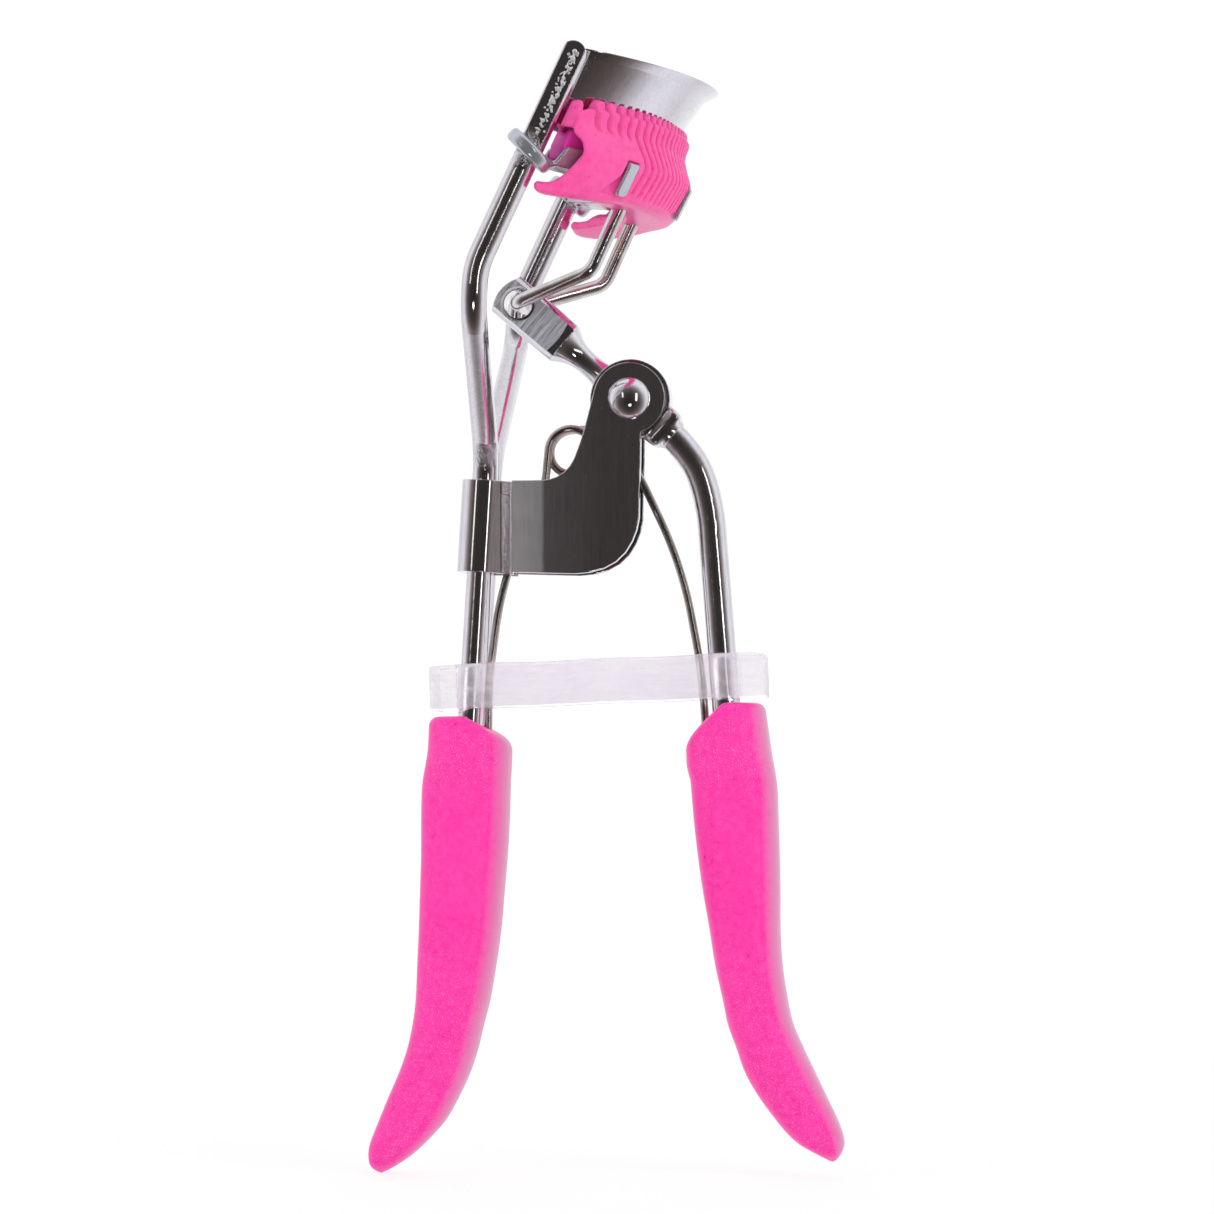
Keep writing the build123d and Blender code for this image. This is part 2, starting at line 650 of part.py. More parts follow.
# ------------------------------------------------------------------ grips
# sections of the grips: (centre x, z, width, depth, lean in degrees)
left_rows = [
    (-15.95, -30.6, 7.6, 7.3, 0), (-15.95, -32.2, 8.05, 7.9, 0), (-16.05, -36.0, 8.35, 8.0, 0),
    (-16.3, -41.0, 8.45, 8.0, 0), (-16.6, -47.5, 8.1, 8.0, -2), (-17.05, -54.5, 7.5, 7.9, -4),
    (-17.9, -60.5, 6.85, 7.7, -10), (-19.25, -65.3, 6.3, 7.3, -21), (-21.3, -69.7, 5.8, 6.8, -31),
    (-23.0, -72.5, 4.8, 5.9, -37), (-23.95, -73.8, 3.4, 4.3, -40), (-24.5, -74.5, 1.3, 2.0, -42),
]
right_rows = [
    (9.15, -29.5, 7.7, 7.3, 0), (9.4, -31.5, 8.0, 7.9, 2), (9.8, -36.0, 8.25, 8.0, 4),
    (10.15, -41.0, 8.1, 8.0, 4), (10.65, -47.6, 7.4, 8.0, 5), (11.35, -54.6, 6.6, 7.9, 7),
    (12.5, -60.4, 6.15, 7.7, 15), (14.3, -65.0, 6.0, 7.3, 26), (16.75, -69.2, 5.5, 6.8, 35),
    (18.5, -71.6, 4.6, 5.9, 39), (19.35, -72.7, 3.2, 4.3, 41), (19.85, -73.3, 1.2, 2.0, 42),
]
# (x, z) of what is cut off the top of each grip, sloping towards the other grip
left_facet = [(-15.6, -30.55), (-11.2, -33.2), (-9, -33.2), (-9, -29), (-15.6, -29)]
right_facet = [(9.6, -29.4), (7.6, -30.35), (4.6, -34.0), (3.5, -34.0), (3.5, -28), (9.6, -28)]


def grip_section(row):
    """Rounded section of a grip."""
    x, z, width, depth, degrees = row
    turn = math.radians(degrees)
    plane = Plane(
        origin=(x, 0, z),
        x_dir=(math.cos(turn), 0, math.sin(turn)),
        z_dir=(-math.sin(turn), 0, math.cos(turn)),
    )
    with BuildSketch(plane) as section:
        RectangleRounded(width, depth, min(width, depth) * 0.34)
    return section.sketch


def grip_body(rows, facet):
    """Lofted grip with its sloping facet cut."""
    with BuildPart() as body:
        loft(sections=[grip_section(row) for row in rows])
        with BuildSketch(Plane.XZ):
            with BuildLine():
                Polyline(*facet, facet[0])
            make_face()
        extrude(amount=6, both=True, mode=Mode.SUBTRACT)
    return body.part


def build_left_grip():
    channel = frame_wire + 2 * fit
    body = grip_body(left_rows, left_facet)
    with BuildPart() as grip:
        add(body)
        # channel for the two rods, with their bend at the bottom
        with BuildSketch(rod_plane(grip_bore_z)):
            RectangleRounded(channel, 2 * rod_y + channel, frame_wire / 2 + fit - 0.01)
        extrude(amount=-28.8, mode=Mode.SUBTRACT)
        # groove for the spring leg
        with BuildSketch(rod_plane(grip_bore_z)):
            with Locations((1.25, 0)):
                Rectangle(2.1, 1.3)
        extrude(amount=-5.4, mode=Mode.SUBTRACT)
    return grip.part


def build_right_grip():
    bore_dir = Vector(lever_rod_lean, 0, -1).normalized()
    bore_top = on_lever_rod(grip_bore_z)
    body = grip_body(right_rows, right_facet)
    with BuildPart() as grip:
        add(body)
        # bore for the lever rod
        with BuildSketch(Plane(origin=bore_top, x_dir=y_axis, z_dir=bore_dir)):
            Circle(lever_rod_d / 2 + fit)
        extrude(amount=27.2, mode=Mode.SUBTRACT)
        # groove for the spring leg on the inner side of the bore
        with BuildSketch(Plane(origin=bore_top, x_dir=square_to(bore_dir), z_dir=bore_dir)):
            with Locations((1.8, 0)):
                Rectangle(2.2, 1.2)
        extrude(amount=6.0, mode=Mode.SUBTRACT)
    return grip.part


# ------------------------------------------------------------------ clear retaining band
def build_retaining_band():
    turn = math.radians(band_tilt)
    normal = Vector(-math.sin(turn), 0, math.cos(turn))
    along = Vector(math.cos(turn), 0, math.sin(turn))
    base = Vector(band_x, 0, band_z) - normal * (band_height / 2)
    with BuildPart() as band:
        with BuildSketch(Plane(origin=base, x_dir=along, z_dir=normal)):
            RectangleRounded(32.6, 8.2, 1.6)
            RectangleRounded(27.5, 5.7, 1.4, mode=Mode.SUBTRACT)
        extrude(amount=band_height)
        rims = band.faces().sort_by(Axis((0, 0, 0), tuple(normal)))
        outer_edges = list(rims[-1].outer_wire().edges()) + list(rims[0].outer_wire().edges())
        fillet(outer_edges, 0.35)
    return band.part


# ------------------------------------------------------------------ files
pieces = {
    "frame_rod": build_frame_rod,
    "upper_jaw": build_upper_jaw,
    "lower_jaw": build_lower_jaw,
    "silicone_pad": build_silicone_pad,
    "lash_comb": build_lash_comb,
    "link_wire": build_link_wire,
    "lever": build_lever,
    "pivot_bracket": build_pivot_bracket,
    "pivot_rivet": build_pivot_rivet,
    "torsion_spring": build_torsion_spring,
    "left_grip": build_left_grip,
    "right_grip": build_right_grip,
    "retaining_band": build_retaining_band,
}
os.makedirs("parts", exist_ok=True)
for name, build in pieces.items():
    piece = build()
    piece.label = name
    export_step(piece, f"parts/{name}.step")
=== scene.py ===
"""Looks for an eyelash curler: wire frame, two jaws, comb, lever, spring, band and pink grips.

It stands in the XZ plane, seen from -Y: the jaws are at the top, the grips hang down to the
floor, the left grip at -X and the right grip at +X. Shapes are in millimetres and are made in
metres; materials, lights and the camera are in metres.
"""
import math
import random
from functools import reduce
import bmesh
import bpy
import numpy as np
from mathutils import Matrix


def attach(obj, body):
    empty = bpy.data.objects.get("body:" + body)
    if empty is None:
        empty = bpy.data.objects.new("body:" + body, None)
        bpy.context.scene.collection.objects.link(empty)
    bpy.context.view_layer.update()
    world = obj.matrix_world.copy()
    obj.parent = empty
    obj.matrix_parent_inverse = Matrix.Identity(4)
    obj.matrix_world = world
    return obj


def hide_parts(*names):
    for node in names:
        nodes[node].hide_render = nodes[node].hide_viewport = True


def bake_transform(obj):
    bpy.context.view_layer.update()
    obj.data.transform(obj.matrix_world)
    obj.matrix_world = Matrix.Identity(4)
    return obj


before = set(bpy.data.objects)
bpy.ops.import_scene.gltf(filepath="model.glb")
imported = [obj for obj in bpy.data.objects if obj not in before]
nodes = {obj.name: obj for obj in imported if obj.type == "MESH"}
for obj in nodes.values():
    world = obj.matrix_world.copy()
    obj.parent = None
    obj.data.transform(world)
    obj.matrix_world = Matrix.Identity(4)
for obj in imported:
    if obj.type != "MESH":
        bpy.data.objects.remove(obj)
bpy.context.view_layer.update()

import openvdb
from mathutils import Vector, noise

MM = 0.001
scene = bpy.context.scene

# ---------------------------------------------------------------- directions shared with the CAD
LEAN = math.radians(25.0)  # of the uprights, from vertical towards +X
TILT = math.radians(10.0)  # of the jaw plane
SLIDE = Vector((math.sin(LEAN), 0, math.cos(LEAN)))  # along the uprights
ACROSS = Vector((math.cos(TILT), 0, -math.sin(TILT)))  # across the jaw
JAW_NORMAL = Vector((math.sin(TILT), 0, math.cos(TILT)))
RISE = ACROSS * math.tan(LEAN - TILT) + JAW_NORMAL  # slide per mm of jaw height

# the jaw curve is an arc through both ends of the jaw
JAW_HALF_SPAN = 14.5
JAW_BULGE = 9.1
JAW_RADIUS = (JAW_HALF_SPAN**2 + JAW_BULGE**2) / (2 * JAW_BULGE)
JAW_END = Vector((-6.974, 0, 24.54))  # its ends, seen along Y
JAW_CENTRE = JAW_END + ACROSS * (JAW_BULGE - JAW_RADIUS)

UPRIGHT_Y = 15.6  # each upright's distance from the XZ plane
HOOK_ANGLES = (-37.0, 0.0, 37.0)  # degrees round the jaw curve
HOOK_RADIUS = JAW_RADIUS + 4.4


def on_upright(z):
    """The point of the uprights' axes at height z, moved into the XZ plane."""
    return Vector((-8.85 + (z - 20.46) * math.tan(LEAN), 0, z))


# ---------------------------------------------------------------- mesh helpers
def add_object(name, data):
    added = bpy.data.objects.new(name, data)
    scene.collection.objects.link(added)
    return added


def face_outwards(mesh):
    edit = bmesh.new()
    edit.from_mesh(mesh)
    bmesh.ops.recalc_face_normals(edit, faces=edit.faces)
    edit.to_mesh(mesh)
    edit.free()


def make_object(name, verts, faces, smooth=True):
    """An object from points in millimetres."""
    mesh = bpy.data.meshes.new(name)
    mesh.from_pydata([tuple(Vector(vert) * MM) for vert in verts], [], faces)
    mesh.validate()
    face_outwards(mesh)
    for face in mesh.polygons:
        face.use_smooth = smooth
    return add_object(name, mesh)


def finish_piece(piece, material, body=None, replaces=None):
    """Give a piece its material, hide the part it replaces and attach it to the body that carries
    it.
    """
    piece.data.materials.append(material)
    if replaces:
        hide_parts(replaces)
    if body:
        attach(piece, body)


def grid_faces(rows, columns):
    """Quads between successive closed rings of points."""
    faces = []
    for i in range(rows - 1):
        for j in range(columns):
            following = (j + 1) % columns
            faces.append((i * columns + j, i * columns + following,
                          (i + 1) * columns + following, (i + 1) * columns + j))
    return faces


def tube(name, points, radius, segments):
    """A round wire along points, with slightly domed ends."""
    last = len(points) - 1
    tangents = [(points[min(i + 1, last)] - points[max(i - 1, 0)]).normalized()
                for i in range(len(points))]
    side = tangents[0].orthogonal().normalized()
    frames = []
    for point, tangent in zip(points, tangents):
        side = (side - tangent * side.dot(tangent)).normalized()
        frames.append((point, side.copy(), tangent.cross(side)))

    def dome(end_frame, outward, shares):
        point, first, second = end_frame
        return [(point + outward * radius * 0.35 * (1 - share), first, second,
                 radius * math.sin(share * math.pi / 2)) for share in shares]

    rings = dome(frames[0], -tangents[0], (0.15, 0.6, 0.9))
    rings += [(*ring_frame, radius) for ring_frame in frames]
    rings += dome(frames[-1], tangents[-1], (0.9, 0.6, 0.15))
    verts = []
    for point, first, second, size in rings:
        for j in range(segments):
            turn = 2 * math.pi * j / segments
            verts.append(point + first * (size * math.cos(turn))
                         + second * (size * math.sin(turn)))
    faces = grid_faces(len(rings), segments)
    faces.append(tuple(range(segments)))
    count = len(verts)
    faces.append(tuple(range(count - 1, count - segments - 1, -1)))
    return make_object(name, verts, faces)


# ---------------------------------------------------------------- node helpers
class Nodes:
    """Adds nodes to a tree. Inputs may be sockets to link, numbers, or colours as (r, g, b)."""

    def __init__(self, tree):
        self.tree = tree

    def feed(self, target, value):
        if isinstance(value, bpy.types.NodeSocket):
            self.tree.links.new(value, target)
        elif isinstance(value, tuple) and target.type == "RGBA":
            target.default_value = (*value, 1)
        else:
            target.default_value = value

    def add(self, kind, inputs=None, **attributes):
        node = self.tree.nodes.new(kind)
        for name, value in attributes.items():
            setattr(node, name, value)
        for key, value in (inputs or {}).items():
            self.feed(node.inputs[key], value)
        return node

    def math(self, operation, first, second=0.0, clamp=False):
        node = self.add("ShaderNodeMath", {0: first, 1: second},
                        operation=operation, use_clamp=clamp)
        return node.outputs[0]

    def plus(self, first, second, clamp=False):
        return self.math("ADD", first, second, clamp)

    def minus(self, first, second, clamp=False):
        return self.math("SUBTRACT", first, second, clamp)

    def times(self, first, second):
        return self.math("MULTIPLY", first, second)

    def unit_range(self, value):
        """Map -1..1 onto 0..1."""
        return self.add("ShaderNodeMath", {0: value, 1: 0.5, 2: 0.5},
                        operation="MULTIPLY_ADD").outputs[0]

    def axes(self, vector):
        return self.add("ShaderNodeSeparateXYZ", {0: vector}).outputs

    def ramp(self, value, stops):
        """Stops are (position, grey or colour)."""
        node = self.add("ShaderNodeValToRGB", {"Fac": value})
        elements = node.color_ramp.elements
        while len(elements) < len(stops):
            elements.new(0.5)
        for element, (position, color) in zip(elements, stops):
            if not isinstance(color, tuple):
                color = (color, color, color)
            element.position = position
            element.color = (*color, 1)
        return node.outputs["Color"]

    def fade(self, value, start, end, before=0.0, after=1.0):
        """A ramp of two stops."""
        return self.ramp(value, [(start, before), (end, after)])

    def mix(self, share, first, second, mode="MIX"):
        node = self.add("ShaderNodeMix", {0: share, 6: first, 7: second},
                        data_type="RGBA", blend_type=mode)
        return node.outputs[2]

    def mix_shader(self, share, first, second):
        return self.add("ShaderNodeMixShader", {0: share, 1: first, 2: second}).outputs[0]


class Surface(Nodes):
    """A new material. Texture scales are per metre in object space."""

    def __init__(self, name):
        self.material = bpy.data.materials.new(name)
        self.material.use_nodes = True
        super().__init__(self.material.node_tree)
        existing = self.tree.nodes
        self.principled = next(n for n in existing if n.type == "BSDF_PRINCIPLED")
        self.output = next(n for n in existing if n.type == "OUTPUT_MATERIAL")
        self.place = self.add("ShaderNodeTexCoord").outputs["Object"]

    def set(self, name, value):
        self.feed(self.principled.inputs[name], value)

    def coords(self, scale=(1, 1, 1), turn_y=0, source=None):
        inputs = {"Scale": scale, "Rotation": (0, turn_y, 0), "Vector": source or self.place}
        return self.add("ShaderNodeMapping", inputs).outputs["Vector"]

    def noise(self, scale, detail=2, rough=0.5, coords=None):
        inputs = {"Scale": scale, "Detail": detail, "Roughness": rough,
                  "Vector": coords or self.coords()}
        return self.add("ShaderNodeTexNoise", inputs).outputs["Fac"]

    def voronoi(self, scale):
        inputs = {"Scale": scale, "Vector": self.coords()}
        return self.add("ShaderNodeTexVoronoi", inputs).outputs["Distance"]

    def bump(self, height, strength, distance, normal):
        inputs = {"Strength": strength, "Distance": distance, "Height": height,
                  "Normal": normal}
        return self.add("ShaderNodeBump", inputs).outputs["Normal"]

    def bevel(self, radius):
        return self.add("ShaderNodeBevel", {"Radius": radius}, samples=6).outputs["Normal"]

    def surface_normal(self):
        return self.add("ShaderNodeNewGeometry").outputs["Normal"]

    def distance(self, point):
        return self.add("ShaderNodeVectorMath", {0: self.place, 1: point},
                        operation="DISTANCE").outputs["Value"]

    def flat_faces(self):
        """1 on faces square to Y, 0 elsewhere."""
        facing = self.math("ABSOLUTE", self.axes(self.surface_normal())["Y"])
        return self.math("GREATER_THAN", facing, 0.94)


# ---------------------------------------------------------------- materials
def steel(name, color=(0.86, 0.86, 0.88), rough=(0.05, 0.16), streak_turn=0.0, streak=0.5,
          wave=0.25, warm=0.0, metal=1.0, brushed=None, strip=None, dents=()):
    """Plated steel: mirror finish with drawn streaks, wavy reflections, dust and small pits.

    brushed is (centre, radius) of a brushed spot, strip the ramp stops of a paler strip beside
    a crease, which is a painted reflection, and dents a list of (centre, radius) of hammered
    spots.
    """
    k = Surface(name)
    stretched = k.coords(scale=(1, 1, 0.06), turn_y=streak_turn)
    streaks = k.noise(scale=5200, detail=3, rough=0.6, coords=stretched)
    cloud = k.noise(scale=420, detail=4, rough=0.6)
    fine = k.noise(scale=9000)
    pits = k.fade(k.voronoi(scale=1900), start=0.0, end=0.055, before=1.0, after=0.0)
    dark = tuple(channel * 0.86 for channel in color)
    bright = tuple(min(1, channel * 1.08) for channel in color)
    tone = k.fade(cloud, start=0.3, end=0.7, before=dark, after=color)
    tone = k.mix(k.fade(streaks, start=0.35, end=0.75), tone, bright)
    if warm:
        patches = k.fade(k.noise(scale=260), start=0.45, end=0.62, after=warm)
        tone = k.mix(patches, tone, (0.62, 0.50, 0.42), mode="MULTIPLY")
    dust = k.fade(k.voronoi(scale=1150), start=0.0, end=0.035, before=0.85, after=0.0)
    metallic = k.minus(metal, k.times(dust, 1.0))
    if brushed or strip:
        flat = k.flat_faces()
    if brushed:
        # flats are brushed and scatter the light
        centre, radius = brushed
        mask = k.times(flat, k.math("LESS_THAN", k.distance(centre), radius))
        turned = k.coords(turn_y=math.radians(49.5))
        lines = k.coords(scale=(0.05, 1, 1), source=turned)
        brush = k.noise(scale=5200, detail=4, rough=0.7, coords=lines)
        tone = k.mix(mask, tone, k.fade(brush, start=0.34, end=0.66,
                                        before=(0.20, 0.205, 0.23), after=(0.62, 0.63, 0.68)))
        metallic = k.minus(metallic, k.times(mask, 0.55), clamp=True)
    if strip:
        # painted reflection: a paler strip beside the crease, made by lowering the metallic
        # 0 at the crease, 1 a centimetre further along X
        crease_x, per_metre = -0.0125, 100.0
        beside = k.times(k.plus(k.axes(k.place)["X"], -crease_x), per_metre)
        pale = k.times(flat, k.ramp(beside, strip))
        metallic = k.minus(metallic, k.times(pale, 0.22), clamp=True)
    k.set("Base Color", tone)
    k.set("Metallic", metallic)
    smooth, dull = rough
    roughness = k.plus(smooth, k.times(k.fade(cloud, start=0.35, end=0.75), dull - smooth))
    roughness = k.plus(roughness, k.times(pits, 0.35), clamp=True)
    if brushed:
        roughness = k.plus(roughness, k.times(mask, 0.34), clamp=True)
    k.set("Roughness", roughness)
    normal = k.bevel(radius=0.00018)
    waves = k.noise(scale=900, rough=0.4)
    normal = k.bump(waves, strength=wave, distance=0.00006, normal=normal)
    normal = k.bump(streaks, strength=streak, distance=0.000006, normal=normal)
    pitted = k.plus(fine, k.times(pits, -1.5))
    normal = k.bump(pitted, strength=0.35, distance=0.000003, normal=normal)
    for centre, reach in dents:
        fall = k.fade(k.math("DIVIDE", k.distance(centre), reach),
                      start=0.35, end=1.0, before=1.0, after=0.0)
        hammered = k.times(k.noise(scale=1500, detail=4, rough=0.65), fall)
        normal = k.bump(hammered, strength=1.0, distance=0.00035, normal=normal)
    if strip:
        crease = k.ramp(beside, [(0.0, 0.0), (0.02, 1.0), (0.09, 1.0), (0.11, 0.0)])
        rumpled = k.times(k.noise(scale=2400, detail=4, rough=0.7), crease)
        normal = k.bump(rumpled, strength=1.0, distance=0.00025, normal=normal)
    k.set("Normal", normal)
    return k.material


def plastic(name, light, deep, rough, grain, painted_sparkle_amount, subsurface, bevel=0.0003, grip=False):
    """Moulded satin plastic: mottled colour, fine grain, painted sparkle highlights, light under
    the surface.

    A grip has more painted sparkle highlights in places and a painted paler shade on its +X side.
    """
    k = Surface(name)
    mottle = k.noise(scale=1500, detail=5, rough=0.65)
    clouds = k.noise(scale=170, detail=3)
    color = k.mix(k.fade(mottle, start=0.35, end=0.7), deep, light)
    color = k.mix(k.fade(clouds, start=0.35, end=0.75, after=0.5), color, light)
    # painted sparkle highlights: small pale specks mixed into the colour
    painted_sparkle_specks = k.fade(k.voronoi(scale=2600), start=0.0, end=0.11, before=1.0, after=0.0)
    painted_sparkle_specks = k.times(painted_sparkle_specks, k.fade(k.noise(scale=900), start=0.48, end=0.66))
    if grip:
        # painted sparkle highlights, more at the gate mark and lower bend; 1 is 0.1 m below the
        # origin
        down = k.times(k.axes(k.place)["Z"], -10.0)
        where = k.ramp(down, [(0.30, 0.9), (0.35, 1.6), (0.40, 0.5),
                              (0.50, 0.35), (0.60, 1.3), (0.70, 1.2)])
        fine = k.fade(k.noise(scale=9000), start=0.55, end=0.70)
        painted_sparkle_specks = k.plus(k.times(painted_sparkle_specks, where), k.times(k.times(fine, where), 0.5), clamp=True)
    glint = tuple(min(1, channel * 0.6 + 0.4) for channel in light)
    color = k.mix(k.times(painted_sparkle_specks, painted_sparkle_amount), color, glint)
    if grip:
        # painted side shading: faces turned towards +X get a paler, greyer pink
        facing = k.add("ShaderNodeVectorMath", {0: k.surface_normal(), 1: (1, 0, 0)},
                       operation="DOT_PRODUCT").outputs["Value"]
        painted_side_shade = k.fade(facing, start=0.50, end=0.95, after=0.75)
        color = k.mix(painted_side_shade, color, (0.62, 0.25, 0.42))
    k.set("Base Color", color)
    k.set("Roughness", k.plus(rough, k.times(k.fade(mottle, start=0.3, end=0.8), 0.14)))
    k.set("Specular IOR Level", 0.45)
    k.set("Subsurface Weight", subsurface)
    k.set("Subsurface Radius", (0.9, 0.25, 0.5))
    k.set("Subsurface Scale", 0.0008)
    normal = k.bevel(bevel)
    normal = k.bump(k.noise(scale=7000, detail=4, rough=0.65),
                    strength=grain, distance=0.00002, normal=normal)
    normal = k.bump(k.noise(scale=1600, detail=3, rough=0.6),
                    strength=grain * 0.6, distance=0.00003, normal=normal)
    k.set("Normal", normal)
    return k.material


def clear_plastic(name):
    """Clear plastic with faint lines along X, partly see-through and partly veiled."""
    k = Surface(name)
    lines = k.noise(scale=1900, detail=4, rough=0.65, coords=k.coords(scale=(0.12, 1, 1)))
    cloud = k.noise(scale=260, detail=3)
    k.set("Base Color", k.mix(k.fade(cloud, start=0.3, end=0.7),
                              (0.94, 0.91, 0.95), (0.985, 0.97, 0.99)))
    k.set("Transmission Weight", 1.0)
    k.set("IOR", 1.22)
    k.set("Roughness", k.plus(0.05, k.times(lines, 0.16)))
    normal = k.bevel(radius=0.0002)
    normal = k.bump(lines, strength=0.5, distance=0.00005, normal=normal)
    normal = k.bump(k.noise(scale=500), strength=0.35, distance=0.0001, normal=normal)
    k.set("Normal", normal)
    veil = k.add("ShaderNodeBsdfDiffuse", {"Color": (0.90, 0.875, 0.91)})
    through = k.add("ShaderNodeBsdfTransparent", {"Color": (0.965, 0.945, 0.97)})
    clear = k.mix_shader(0.34, k.principled.outputs[0], through.outputs[0])
    veil_share = k.plus(0.10, k.times(k.fade(lines, start=0.4, end=0.75), 0.18))
    k.feed(k.output.inputs["Surface"], k.mix_shader(veil_share, clear, veil.outputs[0]))
    return k.material


STREAK_TURN = math.radians(-5)
chrome = steel("chrome", streak_turn=STREAK_TURN)
rod_chrome = steel("rod_chrome", color=(0.85, 0.84, 0.86), streak_turn=STREAK_TURN, wave=0.2,
                   dents=(((-0.0143, -0.0025, -0.0050), 0.0019),
                          ((-0.0084, -0.0164, 0.0225), 0.0022)))
# the bracket's paler strip beside its crease is a painted reflection
bracket_sheet = steel("bracket_sheet", color=(0.84, 0.82, 0.84), rough=(0.03, 0.07), wave=0.05,
                      streak=0.05,
                      strip=[(0.10, 0.0), (0.115, 1.0), (0.39, 0.75), (0.43, 0.16), (1.0, 0.05)])
chrome_sheet = steel("chrome_sheet", color=(0.84, 0.83, 0.86), rough=(0.04, 0.08), wave=0.05,
                     streak=0.06)
lever_chrome = steel("lever_chrome", streak_turn=STREAK_TURN,
                     brushed=((-0.0120, 0, 0.0100), 0.0066))
chrome_wire = steel("chrome_wire", color=(0.84, 0.82, 0.81), warm=0.5, wave=0.3)
satin = steel("satin_steel", color=(0.60, 0.63, 0.68), rough=(0.16, 0.30), wave=0.4,
              streak=0.4, metal=0.82)
weld = steel("weld_bead", color=(0.92, 0.92, 0.93), rough=(0.08, 0.22), wave=0.8,
             streak=0.2, metal=0.72)
spring_steel = steel("spring_steel", color=(0.66, 0.62, 0.58), rough=(0.12, 0.26), warm=0.3,
                     streak=0.6)
pink_grip = plastic("pink_grip", light=(0.98, 0.05, 0.42), deep=(0.90, 0.014, 0.33), rough=0.27,
                    grain=0.5, painted_sparkle_amount=0.55, subsurface=0.15, grip=True)
pink_comb = plastic("pink_comb", light=(0.90, 0.115, 0.39), deep=(0.83, 0.062, 0.30),
                    rough=0.26, grain=0.2, painted_sparkle_amount=0.1, subsurface=0.35, bevel=0.00015)
silicone = plastic("pad_silicone", light=(0.88, 0.05, 0.50), deep=(0.80, 0.03, 0.42),
                   rough=0.38, grain=0.25, painted_sparkle_amount=0.1, subsurface=0.4)
band_clear = clear_plastic("clear_plastic")

NODE_MATERIALS = {
    "frame_rod": rod_chrome,
    "upper_jaw": chrome_sheet,
    "lower_jaw": satin,
    "silicone_pad": silicone,
    "lash_comb": pink_comb,
    "link_wire": chrome_wire,
    "lever": lever_chrome,
    "pivot_bracket": bracket_sheet,
    "pivot_rivet": chrome,
    "torsion_spring": spring_steel,
    "left_grip": pink_grip,
    "right_grip": pink_grip,
    "retaining_band": band_clear,
}
for node_name, node_material in NODE_MATERIALS.items():
    slots = nodes[node_name].data.materials
    slots.clear()
    slots.append(node_material)

# ---------------------------------------------------------------- grips
# moulded, tapering and curving outwards; rows are (z, left x, right x, depth in Y), going down
LEFT_ROWS = [
    (-30.75, -19.75, -11.75, 7.8), (-33.8, -19.9, -11.8, 8.0), (-37.3, -20.4, -11.9, 8.0),
    (-40.8, -20.5, -12.0, 8.0), (-44.3, -20.5, -12.2, 8.0), (-47.8, -20.6, -12.5, 8.0),
    (-51.3, -20.7, -12.8, 8.0), (-54.8, -20.85, -13.3, 7.95), (-58.3, -21.0, -13.9, 7.9),
    (-60.6, -21.3, -14.5, 7.8), (-62.9, -21.8, -15.05, 7.7), (-65.2, -22.6, -15.8, 7.5),
    (-67.6, -23.65, -16.9, 7.2), (-69.9, -24.6, -18.2, 6.8), (-71.0, -25.05, -19.15, 6.5),
    (-72.2, -25.5, -20.3, 6.0), (-73.35, -25.65, -21.6, 5.0), (-74.4, -25.4, -23.2, 3.2),
    (-74.9, -24.75, -24.15, 1.0),
]
RIGHT_ROWS = [
    (-29.5, 5.35, 13.05, 7.8), (-33.9, 5.45, 13.6, 8.0), (-37.3, 5.8, 14.1, 8.0),
    (-40.8, 6.1, 14.25, 8.0), (-44.3, 6.5, 14.35, 8.0), (-47.8, 7.0, 14.4, 8.0),
    (-51.2, 7.6, 14.4, 8.0), (-54.7, 8.15, 14.6, 7.95), (-58.1, 8.9, 15.1, 7.9),
    (-60.5, 9.4, 15.65, 7.8), (-62.7, 10.2, 16.6, 7.7), (-65.0, 11.0, 17.7, 7.5),
    (-67.3, 12.3, 18.8, 7.2), (-69.6, 14.0, 19.9, 6.8), (-70.8, 15.0, 20.35, 6.5),
    (-71.9, 16.2, 20.55, 5.8), (-72.9, 18.0, 20.2, 4.2), (-73.5, 19.1, 19.7, 1.0),
]
GRIP_SEGMENTS = 112
GRIP_SQUARENESS = 2.75  # exponent of the superellipse section
GRIP_RIM = 0.9  # radius of the rounded top edge
GRIP_LEVEL_Z = -37.0  # rings are level from here down
GRIP_END = 1.6  # height of the last, closely spaced rings
MARK_RADIUS = 1.5


def superellipse(count, exponent):
    points = []
    for i in range(count):
        turn = 2 * math.pi * (i + 0.5) / count
        cosine, sine = math.cos(turn), math.sin(turn)
        points.append((math.copysign(abs(cosine) ** (2 / exponent), cosine),
                       math.copysign(abs(sine) ** (2 / exponent), sine)))
    return points


def grip_section(rows, z):
    """Centre x, half width and half depth at height z, by smooth interpolation of the rows."""
    depths = [-row[0] for row in rows]
    i = min(max(np.searchsorted(depths, -z) - 1, 0), len(depths) - 2)
    gap = depths[i + 1] - depths[i]
    t = (-z - depths[i]) / gap
    t2, t3 = t * t, t**3
    values = []
    for column in list(zip(*rows))[1:]:
        start_slope = end_slope = (column[i + 1] - column[i]) / gap
        if i > 0:
            start_slope = (column[i + 1] - column[i - 1]) / (depths[i + 1] - depths[i - 1])
        if i + 2 < len(depths):
            end_slope = (column[i + 2] - column[i]) / (depths[i + 2] - depths[i])
        values.append((2 * t3 - 3 * t2 + 1) * column[i] + (t3 - 2 * t2 + t) * gap * start_slope
                      + (-2 * t3 + 3 * t2) * column[i + 1] + (t3 - t2) * gap * end_slope)
    left, right, depth = values
    return (left + right) / 2, (right - left) / 2, depth / 2


